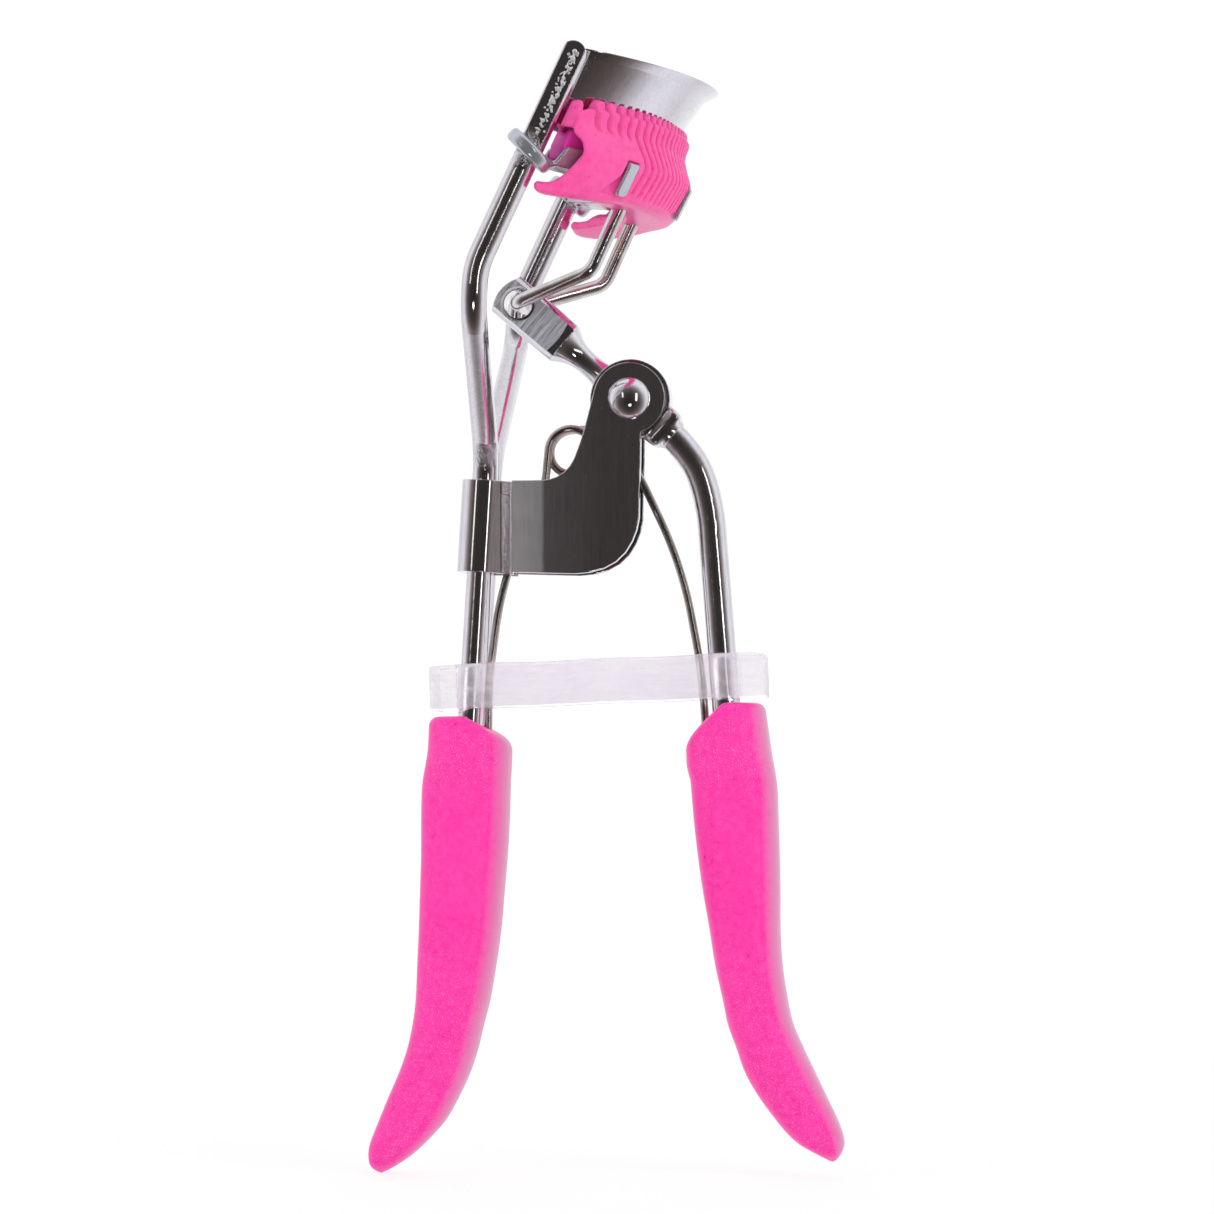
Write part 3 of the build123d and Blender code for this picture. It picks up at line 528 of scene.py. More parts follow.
def roughen_grip(verts, mark):
    """Faint moulding unevenness, and the rough gate mark near the top of the -Y face."""
    offset = Vector((random.Random(7).random() * 50, 3.0, 9.0))
    mark_x, mark_z = mark
    for vert in verts:
        if abs(vert.y) > 1.5:
            lump = noise.noise(vert * 0.16 + offset) * 0.05
            vert.y += math.copysign(lump, vert.y)
        if vert.y < -2.5:
            away = math.hypot(vert.x - mark_x, (vert.z - mark_z) * 1.1)
            if away < MARK_RADIUS:
                share = 1 - away / MARK_RADIUS
                vert.y -= share * 0.10 + noise.noise(vert * 2.6 + offset) * 0.22 * share
                vert.z += noise.noise(vert * 2.1 - offset) * 0.12 * share


def grip(side, rows, bevel_x, bevel_slope, tip, mark, body):
    """A grip; its top falls away by bevel_slope beyond bevel_x."""
    outline = superellipse(GRIP_SEGMENTS, GRIP_SQUARENESS)
    top_z = rows[0][0]
    verts = []

    def top(x):
        return top_z - max(0.0, (x - bevel_x) * bevel_slope)

    def ring(height, inset, row_z, share=1.0):
        centre, half_width, half_depth = grip_section(rows, row_z)
        for across, deep in outline:
            x = centre + across * (half_width - inset) * share
            verts.append(Vector((x, deep * (half_depth - inset) * share, height(x))))

    # concentric rings over the top facet, then its rounded rim
    for share in (0.04, 0.25, 0.5, 0.72, 0.88):
        ring(top, GRIP_RIM, top_z, share)
    for k in range(7):
        turn = k / 6 * math.pi / 2
        ring(lambda x: top(x) - GRIP_RIM * (1 - math.cos(turn)),
             GRIP_RIM * (1 - math.sin(turn)), top_z)
    # the sloping rings level out
    for k in range(1, 15):
        t = k / 14
        ring(lambda x: (top(x) - GRIP_RIM) * (1 - t) + GRIP_LEVEL_Z * t, 0.0,
             top_z + (GRIP_LEVEL_Z - top_z) * t)
    end_z = rows[-1][0] + GRIP_END
    levels = list(np.linspace(GRIP_LEVEL_Z, end_z, 76)[1:])
    levels += [end_z - GRIP_END * math.sin(turn) for turn in np.linspace(0, math.pi / 2, 9)[1:-1]]
    for z in levels:
        ring(lambda x: z, 0.0, z)

    count = GRIP_SEGMENTS
    faces = grid_faces(len(verts) // count, count)
    faces.append(tuple(range(count)))
    last = len(verts) - count
    faces += [(last + j, last + (j + 1) % count, len(verts)) for j in range(count)]
    verts.append(Vector(tip))
    roughen_grip(verts, mark)
    piece = make_object(side + "_grip_moulding", verts, faces)
    subdivision = piece.modifiers.new("subdivision", "SUBSURF")
    subdivision.levels = subdivision.render_levels = 1
    finish_piece(piece, pink_grip, body, replaces=side + "_grip")


grip("left", LEFT_ROWS, bevel_x=-16.0, bevel_slope=0.56, tip=(-24.45, 0, -75.0),
     mark=(-16.95, -34.9), body="frame")
grip("right", RIGHT_ROWS, bevel_x=9.2, bevel_slope=-0.95, tip=(19.4, 0, -73.6),
     mark=(11.05, -33.9), body="lever_side")

# ---------------------------------------------------------------- distance fields
# a field is the distance to a shape in mm, negative inside it
OUTLINE_STEP = 0.04


def outline_field(points, low, high, blur):
    """Distance to a polygon, sampled from low to high and softened by blur, as a lookup."""
    step = OUTLINE_STEP
    u_grid, v_grid = np.meshgrid(np.arange(low[0], high[0] + step, step),
                                 np.arange(low[1], high[1] + step, step), indexing="ij")
    squared = np.full(u_grid.shape, 1e9)
    sign = np.ones(u_grid.shape)
    for i, (start_u, start_v) in enumerate(points):
        end_u, end_v = points[i - 1]
        edge_u, edge_v = end_u - start_u, end_v - start_v
        to_u, to_v = u_grid - start_u, v_grid - start_v
        length = max(edge_u * edge_u + edge_v * edge_v, 1e-12)
        t = np.clip((to_u * edge_u + to_v * edge_v) / length, 0, 1)
        squared = np.minimum(squared, (to_u - edge_u * t) ** 2 + (to_v - edge_v * t) ** 2)
        above = v_grid >= start_v
        below = v_grid < end_v
        left = edge_u * to_v > edge_v * to_u
        sign[(above & below & left) | (~above & ~below & ~left)] *= -1
    field = np.sqrt(squared) * sign
    reach = int(3 * blur / step) + 1
    kernel = np.exp(-0.5 * (np.arange(-reach, reach + 1) * step / blur) ** 2)
    kernel /= kernel.sum()
    for axis in (0, 1):
        padding = [(0, 0), (0, 0)]
        padding[axis] = (reach, reach)
        padded = np.pad(field, padding, mode="edge")
        field = np.apply_along_axis(
            lambda line: np.convolve(line, kernel, mode="valid"), axis, padded)
    field = field.astype(np.float32)

    def sample(u, v):
        column = np.clip((u - low[0]) / step, 0, field.shape[0] - 1.001)
        row = np.clip((v - low[1]) / step, 0, field.shape[1] - 1.001)
        i, j = column.astype(np.int32), row.astype(np.int32)
        s, t = (column - i).astype(np.float32), (row - j).astype(np.float32)
        return (field[i, j] * (1 - s) * (1 - t) + field[i + 1, j] * s * (1 - t)
                + field[i, j + 1] * (1 - s) * t + field[i + 1, j + 1] * s * t)

    return sample


def union(first, second, blend):
    """Both shapes, with the joint rounded over blend."""
    share = np.clip(0.5 + 0.5 * (second - first) / blend, 0, 1)
    return second * (1 - share) + first * share - blend * share * (1 - share)


def common(first, second, blend):
    """What lies in both shapes, with the new edge rounded over blend."""
    return -union(-first, -second, blend)


def carve(shape, tool, blend):
    return common(shape, -tool, blend)


def overlap(*fields):
    """What lies in every shape, with sharp edges."""
    return reduce(np.maximum, fields)


def box_distance(*sides):
    """Distance to a box, from the distances beyond each pair of its sides."""
    outside = np.sqrt(sum(np.maximum(side, 0) ** 2 for side in sides))
    return outside + np.minimum(overlap(*sides), 0)


def arc_length(degrees, radius):
    return degrees * math.pi / 180 * radius


def upright_rod(x, side_y, z, through_z, radius):
    """A rod along the upright's axis."""
    centre = on_upright(through_z)
    dx, dz = x - centre.x, z - centre.z
    along = dx * SLIDE.x + dz * SLIDE.z
    squared = dx**2 + (side_y - UPRIGHT_Y) ** 2 + dz**2 - along**2
    return np.sqrt(np.maximum(squared, 0)) - radius


def field_grid(low, high, step):
    axes = [np.arange(low[i], high[i] + step, step, dtype=np.float32) for i in range(3)]
    return np.meshgrid(*axes, indexing="ij")


def field_object(name, low, step, values):
    """Closed mesh of the zero level of a field sampled from low with the given step."""
    limit = 3 * step
    values = np.clip(values, -limit, limit).astype(np.float32)
    for border in (values[0], values[-1], values[:, 0], values[:, -1],
                   values[:, :, 0], values[:, :, -1]):
        border[...] = limit
    grid = openvdb.FloatGrid(limit)
    grid.copyFromArray(np.ascontiguousarray(values))
    points, triangles, quads = grid.convertToPolygons(isovalue=0.0, adaptivity=0.0)
    places = (points * step + np.array(low)) * MM
    quad_count, triangle_count = len(quads), len(triangles)
    corners = np.concatenate([quads.ravel(), triangles.ravel()]).astype(np.int32)
    starts = np.concatenate([np.arange(quad_count) * 4,
                             quad_count * 4 + np.arange(triangle_count) * 3])
    face_count = quad_count + triangle_count
    mesh = bpy.data.meshes.new(name)
    mesh.vertices.add(len(places))
    mesh.vertices.foreach_set("co", places.astype(np.float32).ravel())
    mesh.loops.add(quad_count * 4 + triangle_count * 3)
    mesh.loops.foreach_set("vertex_index", corners)
    mesh.polygons.add(face_count)
    mesh.polygons.foreach_set("loop_start", starts.astype(np.int32))
    mesh.polygons.foreach_set("use_smooth", np.ones(face_count, dtype=bool))
    mesh.update(calc_edges=True)
    mesh.validate()
    face_outwards(mesh)
    return add_object(name, mesh)


# ---------------------------------------------------------------- comb, pad and lower jaw
JAW_STEP = 0.11
JAW_LOW, JAW_HIGH = (-10.4, -18.4, 12.5), (8.2, 18.4, 28.5)

FIN_PITCH = 0.905  # along Y
GAP_HALF_WIDTH = 0.185
LAST_GAP = 16  # gaps are numbered from the middle outwards
LAST_LONG_GAP = 12

# distance from the XZ plane, against how thick the comb's floor is and how far its rim drops
FLOOR_Y, FLOOR = [0, 9.0, 10.5, 12.1, 14.6, 16.5], [1.1, 1.1, 0.97, 0.68, 0.30, 0.20]
DROP_Y = [0, 9.0, 12.0, 13.0, 14.0, 15.0, 16.4]
DROP = [0.16, 0.18, 0.26, 0.32, 0.42, 0.52, 0.6]

# sections as (offset from the jaw curve, height)
COMB_WALL = [
    (3.3, -6.5), (3.95, -5.95), (4.36, -4.5), (4.53, -3.1), (4.62, -2.05), (4.5, -1.55),
    (4.1, -0.85), (3.36, 0.15), (2.72, 1.2), (2.55, 2.0), (2.52, 2.75), (2.36, 3.08),
    (2.05, 3.12), (1.6, 2.9), (1.5, 2.3), (1.55, 1.1), (1.9, 0.0), (2.3, -1.2), (2.42, -1.9),
    (2.5, -2.8), (2.6, -3.9), (2.3, -4.2), (-0.3, -4.2), (-0.62, -4.9), (-0.62, -5.9),
    (-0.35, -6.5),
]
TOOTH_ROW = [
    (1.42, 1.0), (1.4, 3.2), (1.5, 3.85), (1.72, 4.02), (1.92, 3.85), (2.08, 3.2), (2.2, 2.0),
    (2.2, 1.0),
]
LONG_GAP = [
    (0.8, 4.8), (1.0, 1.75), (2.1, 1.45), (2.35, 1.1), (2.85, -0.05), (3.62, -1.15),
    (3.98, -1.8), (3.93, -3.2), (4.02, -4.3), (4.5, -5.2), (6.4, -5.2), (6.4, 4.8),
]
SHORT_GAP = [
    (0.8, 4.8), (1.0, 2.0), (2.0, 1.75), (2.45, 0.8), (3.0, 0.55), (6.4, 0.55), (6.4, 4.8),
]
PAD_SECTION = [
    (-1.25, -2.83), (-1.5, -2.4), (-1.5, 0.15), (-1.3, 0.42), (-0.66, 0.42), (-0.55, -0.04),
    (0.55, -0.04), (0.66, 0.42), (1.3, 0.42), (1.5, 0.15), (1.5, -2.4), (1.25, -2.83),
]
TROUGH_SECTION = [
    (-2.05, -3.4), (2.05, -3.4), (2.1, -1.35), (1.62, -1.35), (1.56, -2.86), (-1.56, -2.86),
    (-1.62, -1.35), (-2.1, -1.35),
]
# side views as (distance across the jaw from its ends, height)
COMB_END_CUT = [
    (-8, 9), (4.75, 9), (4.5, 3.6), (4.1, 2.75), (3.8, 2.4), (3.45, 1.95), (3.28, 1.45),
    (3.18, 1.0), (3.12, 0.48), (3.27, -0.06), (3.73, -0.41), (4.13, -0.69), (4.35, -1.15),
    (4.49, -1.55), (4.44, -2.05), (4.27, -2.29), (3.83, -2.99), (3.26, -3.79), (2.81, -4.32),
    (2.08, -4.95), (1.24, -5.12), (0.55, -5.1), (0.3, -5.5), (0.55, -6.1), (1.2, -6.7),
    (1.4, -9), (-8, -9),
]
END_TOOTH = [
    (1.35, 0.45), (1.22, 1.0), (1.42, 1.65), (1.9, 2.35), (2.5, 2.9), (3.05, 3.15), (3.5, 3.1),
    (3.65, 2.7), (3.6, 1.9), (3.9, 1.4), (3.9, 0.4),
]


def jaw_coords(x, y, z):
    """Offset from the jaw curve, height, distance across from its ends, and angle in degrees."""
    dx, dz = x - JAW_CENTRE.x, z - JAW_CENTRE.z
    height = dx * JAW_NORMAL.x + dz * JAW_NORMAL.z
    along = (dx - RISE.x * height) * ACROSS.x + (dz - RISE.z * height) * ACROSS.z
    offset = np.sqrt(along * along + y * y) - JAW_RADIUS
    across = (x - JAW_END.x) * ACROSS.x + (z - JAW_END.z) * ACROSS.z
    return offset, height, across, np.degrees(np.arctan2(y, along))


def fin_gaps(y, offset, height):
    """Gaps between the fins: parallel and along the XZ plane, shorter towards the ends."""
    number = np.round(y / FIN_PITCH)
    slot = np.abs(y - number * FIN_PITCH) - GAP_HALF_WIDTH
    long_gap = outline_field(LONG_GAP, low=(-1, -7), high=(7, 6), blur=0.08)(offset, height)
    short_gap = outline_field(SHORT_GAP, low=(-1, -7), high=(7, 6), blur=0.1)(offset, height)
    region = np.where(np.abs(number) <= LAST_LONG_GAP, long_gap, short_gap)
    return np.where(np.abs(number) <= LAST_GAP, common(slot, region, 0.10), 9.0)


def hook_recesses(shape, offset, height, angle):
    """Carve room for the three hooks, with a sloping pocket beside the outer two."""
    for hook in HOOK_ANGLES:
        aside = arc_length(angle - hook, HOOK_RADIUS)
        box = overlap(np.abs(aside) - 0.82, np.abs(height + 3.45) - 1.95, 4.12 - offset,
                      offset - 7.0)
        shape = carve(shape, box, 0.12)
        if hook:
            outward = aside if hook < 0 else -aside
            slope = (height + 4.95) * 0.55 - (outward + 2.15) * 0.80
            pocket = overlap(-4.95 - height, outward + 0.5, slope, 3.95 - offset, offset - 7.0)
            shape = carve(shape, pocket, 0.12)
    return shape


def comb_field(x, y, z, offset, height, across, angle):
    side_y = np.abs(y)
    # outer wall and floor; the floor is thinner in the middle than towards the two ends
    floor = np.interp(side_y, FLOOR_Y, FLOOR).astype(np.float32)
    drop = np.interp(side_y, DROP_Y, DROP).astype(np.float32)
    wall_height = height - floor * np.clip((-4.2 - height) / (2.3 - floor), 0, 2)
    wall_height = wall_height + drop * np.clip((height - 0.4) / 1.8, 0, 1)
    wall = outline_field(COMB_WALL, low=(-2.5, -8.5), high=(7.5, 6.0), blur=0.13)
    end_cut = outline_field(COMB_END_CUT, low=(-9, -9), high=(9, 7), blur=0.12)
    shape = carve(wall(offset, wall_height), end_cut(across, height), 0.55)
    shape = common(shape, side_y - 16.4, 0.9)
    # inner row that carries the teeth, and a broader tooth at each end
    row = outline_field(TOOTH_ROW, low=(-1.5, -2), high=(5, 6), blur=0.07)
    teeth = row(offset, height + 0.30 + 0.45 * (drop - DROP[0]))
    teeth = common(teeth, side_y - 14.35, 0.1)
    end_tooth = outline_field(END_TOOTH, low=(-1.5, -2), high=(5, 6), blur=0.06)
    end_tooth = common(end_tooth(across, height), np.abs(side_y - 15.1) - 0.36, 0.2)
    shape = union(shape, union(teeth, end_tooth, 0.02), 0.18)
    shape = carve(shape, fin_gaps(y, offset, height), 0.10)
    shape = hook_recesses(shape, offset, height, angle)
    # room for the uprights and for the upper jaw's plate
    room = upright_rod(x, side_y, z, through_z=24.0, radius=1.62)
    shape = carve(shape, room, 0.1)
    return common(shape, np.where(height > 0.2, 1.40 - offset, -9.0), 0.1)


def pad_field(offset, height, angle):
    """Soft strip with a shallow channel along its top."""
    strip = outline_field(PAD_SECTION, low=(-4, -6), high=(4, 3), blur=0.05)(offset, height)
    end = arc_length(np.abs(angle) - 56.8, JAW_RADIUS)
    return common(strip, end + np.maximum(0, -1.2 - height) * 0.35, 0.45)


def eyelet_field(x, side_y, z):
    """Ring round each upright, with a tapering neck to the jaw."""
    centre = on_upright(22.3)
    axis = Vector((0.72, 0, 0.694)).normalized()
    dx, dy, dz = x - centre.x, side_y - UPRIGHT_Y, z - centre.z
    along = dx * axis.x + dz * axis.z
    radial = np.sqrt(np.maximum(dx * dx + dy * dy + dz * dz - along * along, 0))
    ring = box_distance(np.abs(radial - 1.96) - 0.14, np.abs(along) - 0.24) - 0.46

    start, start_y = centre + Vector((1.25, 0, -1.25)), 14.9
    end, end_y = JAW_END + RISE * -3.05 + ACROSS * 1.55, 12.6
    dx, dy, dz = x - start.x, side_y - start_y, z - start.z
    run_x, run_y, run_z = end.x - start.x, end_y - start_y, end.z - start.z
    t = np.clip((dx * run_x + dy * run_y + dz * run_z) / (run_x**2 + run_y**2 + run_z**2), 0, 1)
    away = np.sqrt((dx - run_x * t) ** 2 + (dy - run_y * t) ** 2 + (dz - run_z * t) ** 2)
    neck = away - (0.70 - 0.16 * t)
    return union(ring, neck, 0.35)


def lower_jaw_field(x, y, z, offset, height, angle):
    """Formed trough, eyelets blended into it, and three hooks."""
    side_y = np.abs(y)
    trough = outline_field(TROUGH_SECTION, low=(-4, -6), high=(4, 2), blur=0.09)
    end = arc_length(np.abs(angle) - 57.6, JAW_RADIUS) + np.maximum(0, height + 3.2) * 0.30
    shape = common(trough(offset, height), end, 0.2)
    shape = union(shape, eyelet_field(x, side_y, z), 0.45)
    bore = upright_rod(x, side_y, z, through_z=22.3, radius=1.36)
    shape = carve(shape, bore, 0.06)
    half_width, tip_radius, tip_height = 0.65, 0.4, -4.55
    for hook in HOOK_ANGLES:
        aside = np.abs(arc_length(angle - hook, HOOK_RADIUS))
        leaning = 4.62 - (-1.65 - height) * 0.03
        plate = overlap(aside - half_width, np.abs(offset - leaning) - 0.22)
        tip = np.sqrt(np.maximum(aside - (half_width - tip_radius), 0) ** 2
                      + np.maximum(tip_height - height, 0) ** 2) - tip_radius
        plate = common(plate, np.where(height < tip_height, tip, -1.0), 0.08)
        plate = common(plate, height + 1.75, 0.25)
        arm = overlap(aside - half_width, np.abs(height + 1.98) - 0.24,
                      np.abs(offset - 3.2) - 1.55)
        shape = union(shape, union(plate, arm, 0.12), 0.05)
    return shape


def make_jaw_pieces():
    x, y, z = field_grid(JAW_LOW, JAW_HIGH, JAW_STEP)
    offset, height, across, angle = jaw_coords(x, y, z)
    comb = field_object("lash_comb_moulding", JAW_LOW, JAW_STEP,
                        comb_field(x, y, z, offset, height, across, angle))
    finish_piece(comb, pink_comb, "lower_jaw_side", replaces="lash_comb")
    pad = field_object("pad_strip", JAW_LOW, JAW_STEP, pad_field(offset, height, angle))
    finish_piece(pad, silicone, "lower_jaw_side", replaces="silicone_pad")
    jaw = field_object("lower_jaw_formed", JAW_LOW, JAW_STEP,
                       lower_jaw_field(x, y, z, offset, height, angle))
    finish_piece(jaw, satin, "lower_jaw_side", replaces="lower_jaw")


make_jaw_pieces()


# ---------------------------------------------------------------- lever shoulder
def make_shoulder():
    """Rounded forging of the shoulder where the rod leaves the boss."""
    low, high, step = (0.2, -3.2, -6.6), (6.8, 3.2, 0.6), 0.10
    run_x, run_z = 0.76, 0.65  # the rod runs towards +X and down
    edge = 0.55
    x, y, z = field_grid(low, high, step)
    run = x * run_x - z * run_z
    aside = x * run_z + z * run_x
    width = 2.06 - 0.03 * np.maximum(run - 3.4, 0) ** 2
    depth = 1.46 + 0.30 * np.clip((run - 3.62) / 0.5, 0, 1)
    block = box_distance(np.abs(run - 3.77) - (1.32 - edge), np.abs(aside) - (width - edge),
                         np.abs(y) - (depth - edge)) - edge
    stub = overlap(np.sqrt(y * y + aside * aside) - 1.55, np.abs(run - 5.0) - 0.55)
    shoulder = field_object("lever_shoulder", low, step, union(block, stub, 0.5))
    finish_piece(shoulder, chrome, "lever_side")


make_shoulder()

# ---------------------------------------------------------------- weld beads
# blobs at the rounded tip, as in a puddled weld: (x beside the axis, z, radius)
TIP_BLOBS = ((0.1, 31.5, 0.27), (0.5, 31.15, 0.2), (-0.35, 31.25, 0.2), (0.3, 30.75, 0.24),
             (-0.1, 31.0, 0.15))


def weld_blobs(rng):
    """Blobs as (z, x beside the axis, y, radius, flattening in Y, blend)."""
    blobs = []
    z = 30.9
    while z > 21.9:
        beside = 0.22 + rng.uniform(-0.2, 0.2)
        y = 16.33 + rng.uniform(-0.05, 0.03)
        radius = rng.uniform(0.12, 0.24) if z > 24.2 or z < 22.9 else rng.uniform(0.07, 0.15)
        blobs.append((z, beside, y, radius, 1.0, 0.07))
        z -= rng.uniform(0.20, 0.40)
    for _ in range(90):
        z = rng.uniform(21.9, 31.4)
        spread = 0.75 if z < 24.0 else 0.45
        beside = 0.15 + rng.uniform(-spread, spread)
        blobs.append((z, beside, 16.32, rng.uniform(0.07, 0.15), 1.0, 0.05))
    blobs += [(z, beside, 16.3, radius, 1.6, 0.1) for beside, z, radius in TIP_BLOBS]
    return blobs


def make_weld_bead(label, mirrored, rng):
    """A bead along the pressed end of an upright, made at +Y and mirrored for the other."""
    low, high, step = (-9.2, 15.4, 21.2), (-2.2, 17.0, 31.9), 0.07
    x, y, z = field_grid(low, high, step)
    bead = np.full(x.shape, 9.0, np.float32)
    for blob_z, beside, blob_y, radius, flattening, blend in weld_blobs(rng):
        centre = on_upright(blob_z) + Vector((beside, blob_y, 0))
        away = np.sqrt((x - centre.x) ** 2 + ((y - centre.y) * flattening) ** 2
                       + (z - centre.z) ** 2)
        bead = union(bead, away - radius, blend)
    piece = field_object("weld_bead_" + label, low, step, bead)
    if mirrored:
        for vert in piece.data.vertices:
            vert.co.y = -vert.co.y
        piece.data.flip_normals()
    finish_piece(piece, weld, "frame")


weld_rng = random.Random(11)
make_weld_bead("near", True, weld_rng)
make_weld_bead("far", False, weld_rng)

# ---------------------------------------------------------------- return spring
WIRE_RADIUS = 0.4
COIL_TURNS = 2.25
COIL_PITCH = 0.86
COIL_RADIUS = 2.2
COIL_X, COIL_Z = -5.83, -4.97
COIL_POINTS = 82
LINE_STEP, ARC_STEP = 0.9, 0.5  # spacing of points along straight runs and bends


def bent_path(corners, radii):
    """Points along straight runs joined by tangent arcs, as the wire is bent."""
    corners = [Vector(corner) for corner in corners]
    path, start = [], corners[0]
    for before, corner, after, radius in zip(corners, corners[1:], corners[2:], radii):
        back, ahead = (before - corner).normalized(), (after - corner).normalized()
        half = back.angle(ahead) / 2
        run = min(radius / math.tan(half), 0.48 * (before - corner).length,
                  0.48 * (after - corner).length)
        arc_start, arc_end = corner + back * run, corner + ahead * run
        count = max(1, int((arc_start - start).length / LINE_STEP))
        path += [start.lerp(arc_start, k / count) for k in range(count)]
        arc_radius = run * math.tan(half)
        centre = corner + (back + ahead).normalized() * (arc_radius / math.sin(half))
        count = max(3, int(arc_radius * (math.pi - 2 * half) / ARC_STEP))
        first, last = arc_start - centre, arc_end - centre
        total = first.angle(last)
        for k in range(count):
            t = k / count
            path.append(centre + (first * math.sin((1 - t) * total)
                                  + last * math.sin(t * total)) / math.sin(total))
        start = arc_end
    count = max(1, int((corners[-1] - start).length / LINE_STEP))
    return path + [start.lerp(corners[-1], k / count) for k in range(count + 1)]


def make_spring():
    coil = []
    width = COIL_PITCH * COIL_TURNS
    for k in range(COIL_POINTS):
        t = k / (COIL_POINTS - 1)
        turn = math.radians(180 - 360 * COIL_TURNS * t)
        coil.append(Vector((COIL_X + COIL_RADIUS * math.cos(turn), -width / 2 + width * t,
                            COIL_Z + COIL_RADIUS * math.sin(turn))))
    first, last = coil[0], coil[-1]
    out_first, out_last = (first - coil[1]).normalized(), (last - coil[-2]).normalized()
    left_leg = bent_path([first, first + out_first * 3.2, (-12.6, -0.5, -17.6),
                          (-13.95, 0, -27.0), (-14.05, 0, -33.6)], [5.0, 30.0, 30.0])
    right_leg = bent_path([last, last + out_last * 1.6, (0.2, 0.95, -6.2), (4.9, 0.45, -16.2),
                           (6.85, 0, -26.5), (7.34, 0, -33.6)], [4.0, 15.0, 40.0, 40.0])
    path = left_leg[::-1][:-1] + coil + right_leg[1:]
    spring = tube("return_spring_wire", path, WIRE_RADIUS, segments=16)
    finish_piece(spring, spring_steel, replaces="torsion_spring")
    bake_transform(spring)


make_spring()

# ---------------------------------------------------------------- clear band round both arms
BAND_TURN = math.radians(2.1)
BAND_X = Vector((math.cos(BAND_TURN), 0, math.sin(BAND_TURN)))
BAND_UP = Vector((-math.sin(BAND_TURN), 0, math.cos(BAND_TURN)))
BAND_CENTRE = Vector((-3.15, 0, -27.45))
BAND_HALF_HEIGHT = 2.15
BAND_EDGE = 0.32  # radius of the wall's edges


def rounded_rectangle(half_x, half_y, radius, long_parts=40, short_parts=4, corner_parts=8):
    """Points of a rounded rectangle, starting at its +X +Y corner."""
    points = []
    in_x, in_y = half_x - radius, half_y - radius
    corners = [(in_x, in_y, 0), (-in_x, in_y, 90), (-in_x, -in_y, 180), (in_x, -in_y, 270)]
    for i, (x, y, start) in enumerate(corners):
        for k in range(corner_parts + 1):
            turn = math.radians(start + 90 * k / corner_parts)
            points.append((x + radius * math.cos(turn), y + radius * math.sin(turn)))
        next_x, next_y, _ = corners[(i + 1) % 4]
        turn = math.radians(start + 90)
        from_x, from_y = x + radius * math.cos(turn), y + radius * math.sin(turn)
        to_x, to_y = next_x + radius * math.cos(turn), next_y + radius * math.sin(turn)
        parts = long_parts if i % 2 == 0 else short_parts
        for k in range(1, parts):
            t = k / parts
            points.append((from_x + (to_x - from_x) * t, from_y + (to_y - from_y) * t))
    return points


def make_band():
    # the wall's section: (side of the wall, top or bottom, x and z round the edge)
    section = []
    for start, side, level in ((0, 1, 1), (90, -1, 1), (180, -1, -1), (270, 1, -1)):
        for k in range(5):
            turn = math.radians(start + 90 * k / 4)
            section.append((side, level, BAND_EDGE * math.cos(turn),
                            BAND_EDGE * math.sin(turn)))
    outer = rounded_rectangle(half_x=16.3, half_y=4.1, radius=1.6)
    inner = rounded_rectangle(half_x=13.75, half_y=2.85, radius=1.0)
    verts, faces = [], []
    for outer_point, inner_point in zip(outer, inner):
        outside, inside = Vector((*outer_point, 0)), Vector((*inner_point, 0))
        middle, half = (outside + inside) / 2, (outside - inside) / 2
        outward = half.normalized()
        reach = half.length - BAND_EDGE
        for side, level, edge_x, edge_z in section:
            point = middle + outward * (side * reach + edge_x)
            z = level * (BAND_HALF_HEIGHT - BAND_EDGE) + edge_z
            wobble = 0.05 * math.sin(point.x * 0.55 + 1.0) * (1 if level > 0 else 0.7)
            verts.append(BAND_CENTRE + BAND_X * point.x + Vector((0, 1, 0)) * point.y
                         + BAND_UP * (z + wobble))
    count = len(section)
    for j in range(len(outer)):
        here, there = j * count, (j + 1) % len(outer) * count
        for k in range(count):
            k2 = (k + 1) % count
            faces.append((here + k, there + k, there + k2, here + k2))
    band = make_object("clear_keeper_band", verts, faces)
    finish_piece(band, band_clear, replaces="retaining_band")
    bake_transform(band)


make_band()

# ---------------------------------------------------------------- floor
FLOOR_Z = -75.05
FLOOR_HALF = 4000


def floor_material():
    """Pale floor that glows more away from the object."""
    k = Surface("pale_floor")
    k.set("Base Color", k.mix(k.noise(scale=3.0), (0.90, 0.90, 0.905), (0.93, 0.93, 0.935)))
    k.set("Roughness", 0.7)
    glow = k.add("ShaderNodeEmission", {"Color": (1, 1, 1), "Strength": 1.02})
    away = k.add("ShaderNodeVectorMath", {0: k.place}, operation="LENGTH").outputs["Value"]
    share = k.fade(k.times(away, 2.0), start=0.16, end=0.6, before=0.80, after=1.0)
    k.feed(k.output.inputs["Surface"],
           k.mix_shader(share, k.principled.outputs[0], glow.outputs[0]))
    return k.material


floor_corners = [(x * FLOOR_HALF, y * FLOOR_HALF, FLOOR_Z)
                 for x, y in ((-1, -1), (1, -1), (1, 1), (-1, 1))]
floor = make_object("floor", floor_corners, [(0, 1, 2, 3)], smooth=False)
floor.data.materials.append(floor_material())
floor.visible_glossy = False

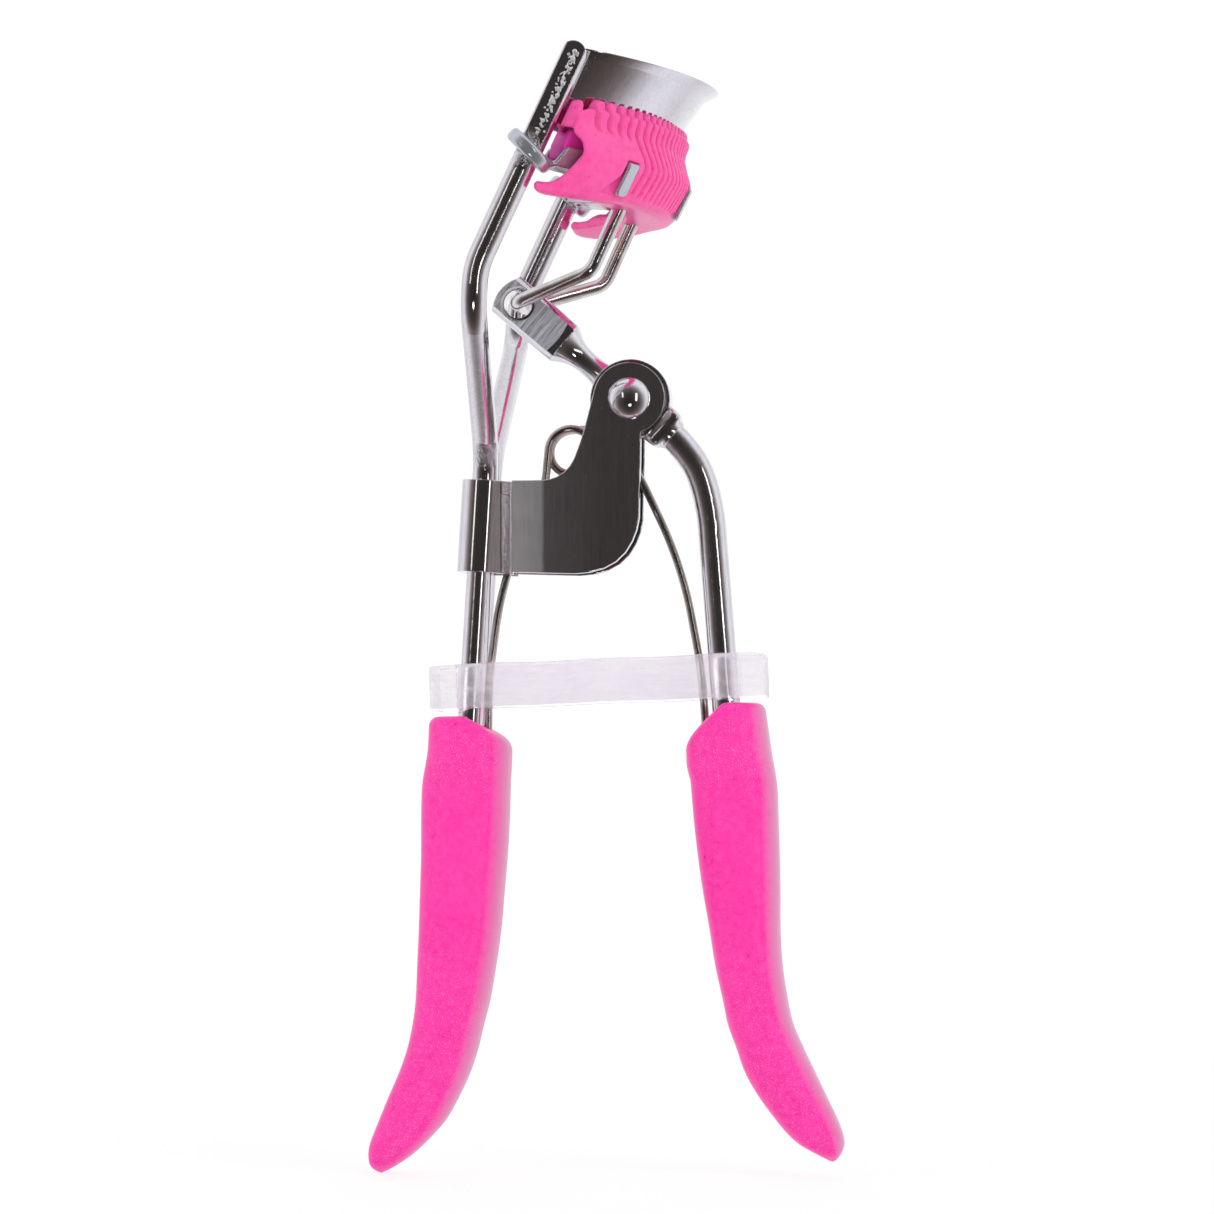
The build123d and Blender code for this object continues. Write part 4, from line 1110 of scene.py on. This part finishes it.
# ---------------------------------------------------------------- world
# the room seen in reflections, from straight behind the camera (0) to straight ahead (1):
# dark behind the camera, a pale card round and behind the object
ROOM_TONES = [
    (0.0, (0.030, 0.026, 0.026)), (0.10, (0.055, 0.045, 0.042)), (0.20, (0.10, 0.082, 0.078)),
    (0.29, (0.20, 0.17, 0.165)), (0.38, (0.40, 0.37, 0.39)), (0.48, (0.74, 0.72, 0.77)),
    (0.62, (0.86, 0.85, 0.90)), (0.82, (0.72, 0.70, 0.74)), (1.0, (0.95, 0.95, 0.97)),
]


def build_world():
    world = bpy.data.worlds.new("studio")
    scene.world = world
    world.use_nodes = True
    world.node_tree.nodes.clear()
    k = Nodes(world.node_tree)
    output = k.add("ShaderNodeOutputWorld")
    coords = k.add("ShaderNodeTexCoord").outputs
    direction = k.add("ShaderNodeVectorMath", {0: coords["Camera"]}, operation="NORMALIZE")
    view = k.axes(direction.outputs[0])

    def background(color, strength):
        return k.add("ShaderNodeBackground", {"Color": color, "Strength": strength}).outputs[0]

    def window(x_range, y_range, soft, level):
        """A soft-edged bright window in the half of the room behind the camera."""
        edges = []
        for axis, (low, high) in (("X", x_range), ("Y", y_range)):
            away = k.math("ABSOLUTE", k.minus(view[axis], (low + high) / 2))
            edges.append(k.math("DIVIDE", k.minus((high - low) / 2, away), soft, clamp=True))
        behind = k.math("LESS_THAN", view["Z"], 0.0)
        return k.times(k.times(k.times(edges[0], edges[1]), behind), level)

    # the pale card reaches further round on the right and above, and less far below
    ahead = k.unit_range(view["Z"])
    shift = k.times(k.math("MAXIMUM", view["X"], 0.0), 0.10)
    shift = k.plus(shift, k.times(k.math("MINIMUM", view["Y"], 0.0), 0.15))
    shift = k.plus(shift, k.times(k.math("MAXIMUM", view["Y"], 0.0), 0.09))
    tones = k.ramp(k.plus(ahead, shift, clamp=True), ROOM_TONES)
    glow = k.plus(window(x_range=(0.42, 0.52), y_range=(-0.15, 0.42), soft=0.035, level=4.0),
                  window(x_range=(-0.64, -0.54), y_range=(0.10, 0.50), soft=0.03, level=1.6))
    glow = k.plus(glow, window(x_range=(-0.12, 0.06), y_range=(-0.56, -0.40), soft=0.04,
                               level=6.0))
    room = background(k.mix(1.0, tones, glow, mode="ADD"), strength=1.0)
    white = background((1, 1, 1), strength=1.05)
    # surfaces that scatter light are lit by an even soft sky, a little brighter from above
    upward = k.unit_range(k.axes(coords["Generated"])["Z"])
    sky_tone = k.fade(upward, start=0.2, end=0.9,
                      before=(0.55, 0.55, 0.56), after=(0.98, 0.98, 0.98))
    sky = background(sky_tone, strength=0.75)
    ray = k.add("ShaderNodeLightPath").outputs
    seen = k.mix_shader(ray["Is Camera Ray"], room, white)
    k.feed(output.inputs["Surface"], k.mix_shader(ray["Is Diffuse Ray"], seen, sky))


build_world()


# ---------------------------------------------------------------- lights and camera
def aim(thing, location, target):
    thing.location = location
    thing.rotation_mode = "QUATERNION"
    thing.rotation_quaternion = (Vector(target) - Vector(location)).to_track_quat("-Z", "Y")


def area_light(name, location, target, size, power):
    light = bpy.data.lights.new(name, "AREA")
    light.shape = "RECTANGLE"
    light.size, light.size_y = size
    light.energy = power
    lamp = add_object(name, light)
    aim(lamp, location, target)
    lamp.visible_glossy = False


area_light("key", location=(0.42, -0.42, 0.30), target=(0, 0, -0.02), size=(0.30, 0.30),
           power=1.6)
area_light("fill", location=(-0.50, -0.30, 0.10), target=(0, 0, -0.02), size=(0.25, 0.45),
           power=0.8)
area_light("back", location=(-0.1, 0.6, 0.35), target=(0, 0, 0), size=(0.5, 0.4), power=1.5)

CAMERA_TARGET = Vector((-2.401, 0, -20.116)) * MM
CAMERA_TURN, CAMERA_RISE = math.radians(6.5), math.radians(-3)  # from straight in front
CAMERA_DISTANCE = 0.450

camera_data = bpy.data.cameras.new("camera")
camera = add_object("camera", camera_data)
towards_camera = Vector((math.sin(CAMERA_TURN) * math.cos(CAMERA_RISE),
                         -math.cos(CAMERA_TURN) * math.cos(CAMERA_RISE),
                         math.sin(CAMERA_RISE)))
aim(camera, CAMERA_TARGET + CAMERA_DISTANCE * towards_camera, CAMERA_TARGET)
camera_data.sensor_width = 36.0
camera_data.lens = 137.313015
camera_data.clip_start = 0.01
camera_data.clip_end = 20.0
scene.camera = camera
scene.view_settings.view_transform = "Standard"
scene.view_settings.look = "None"
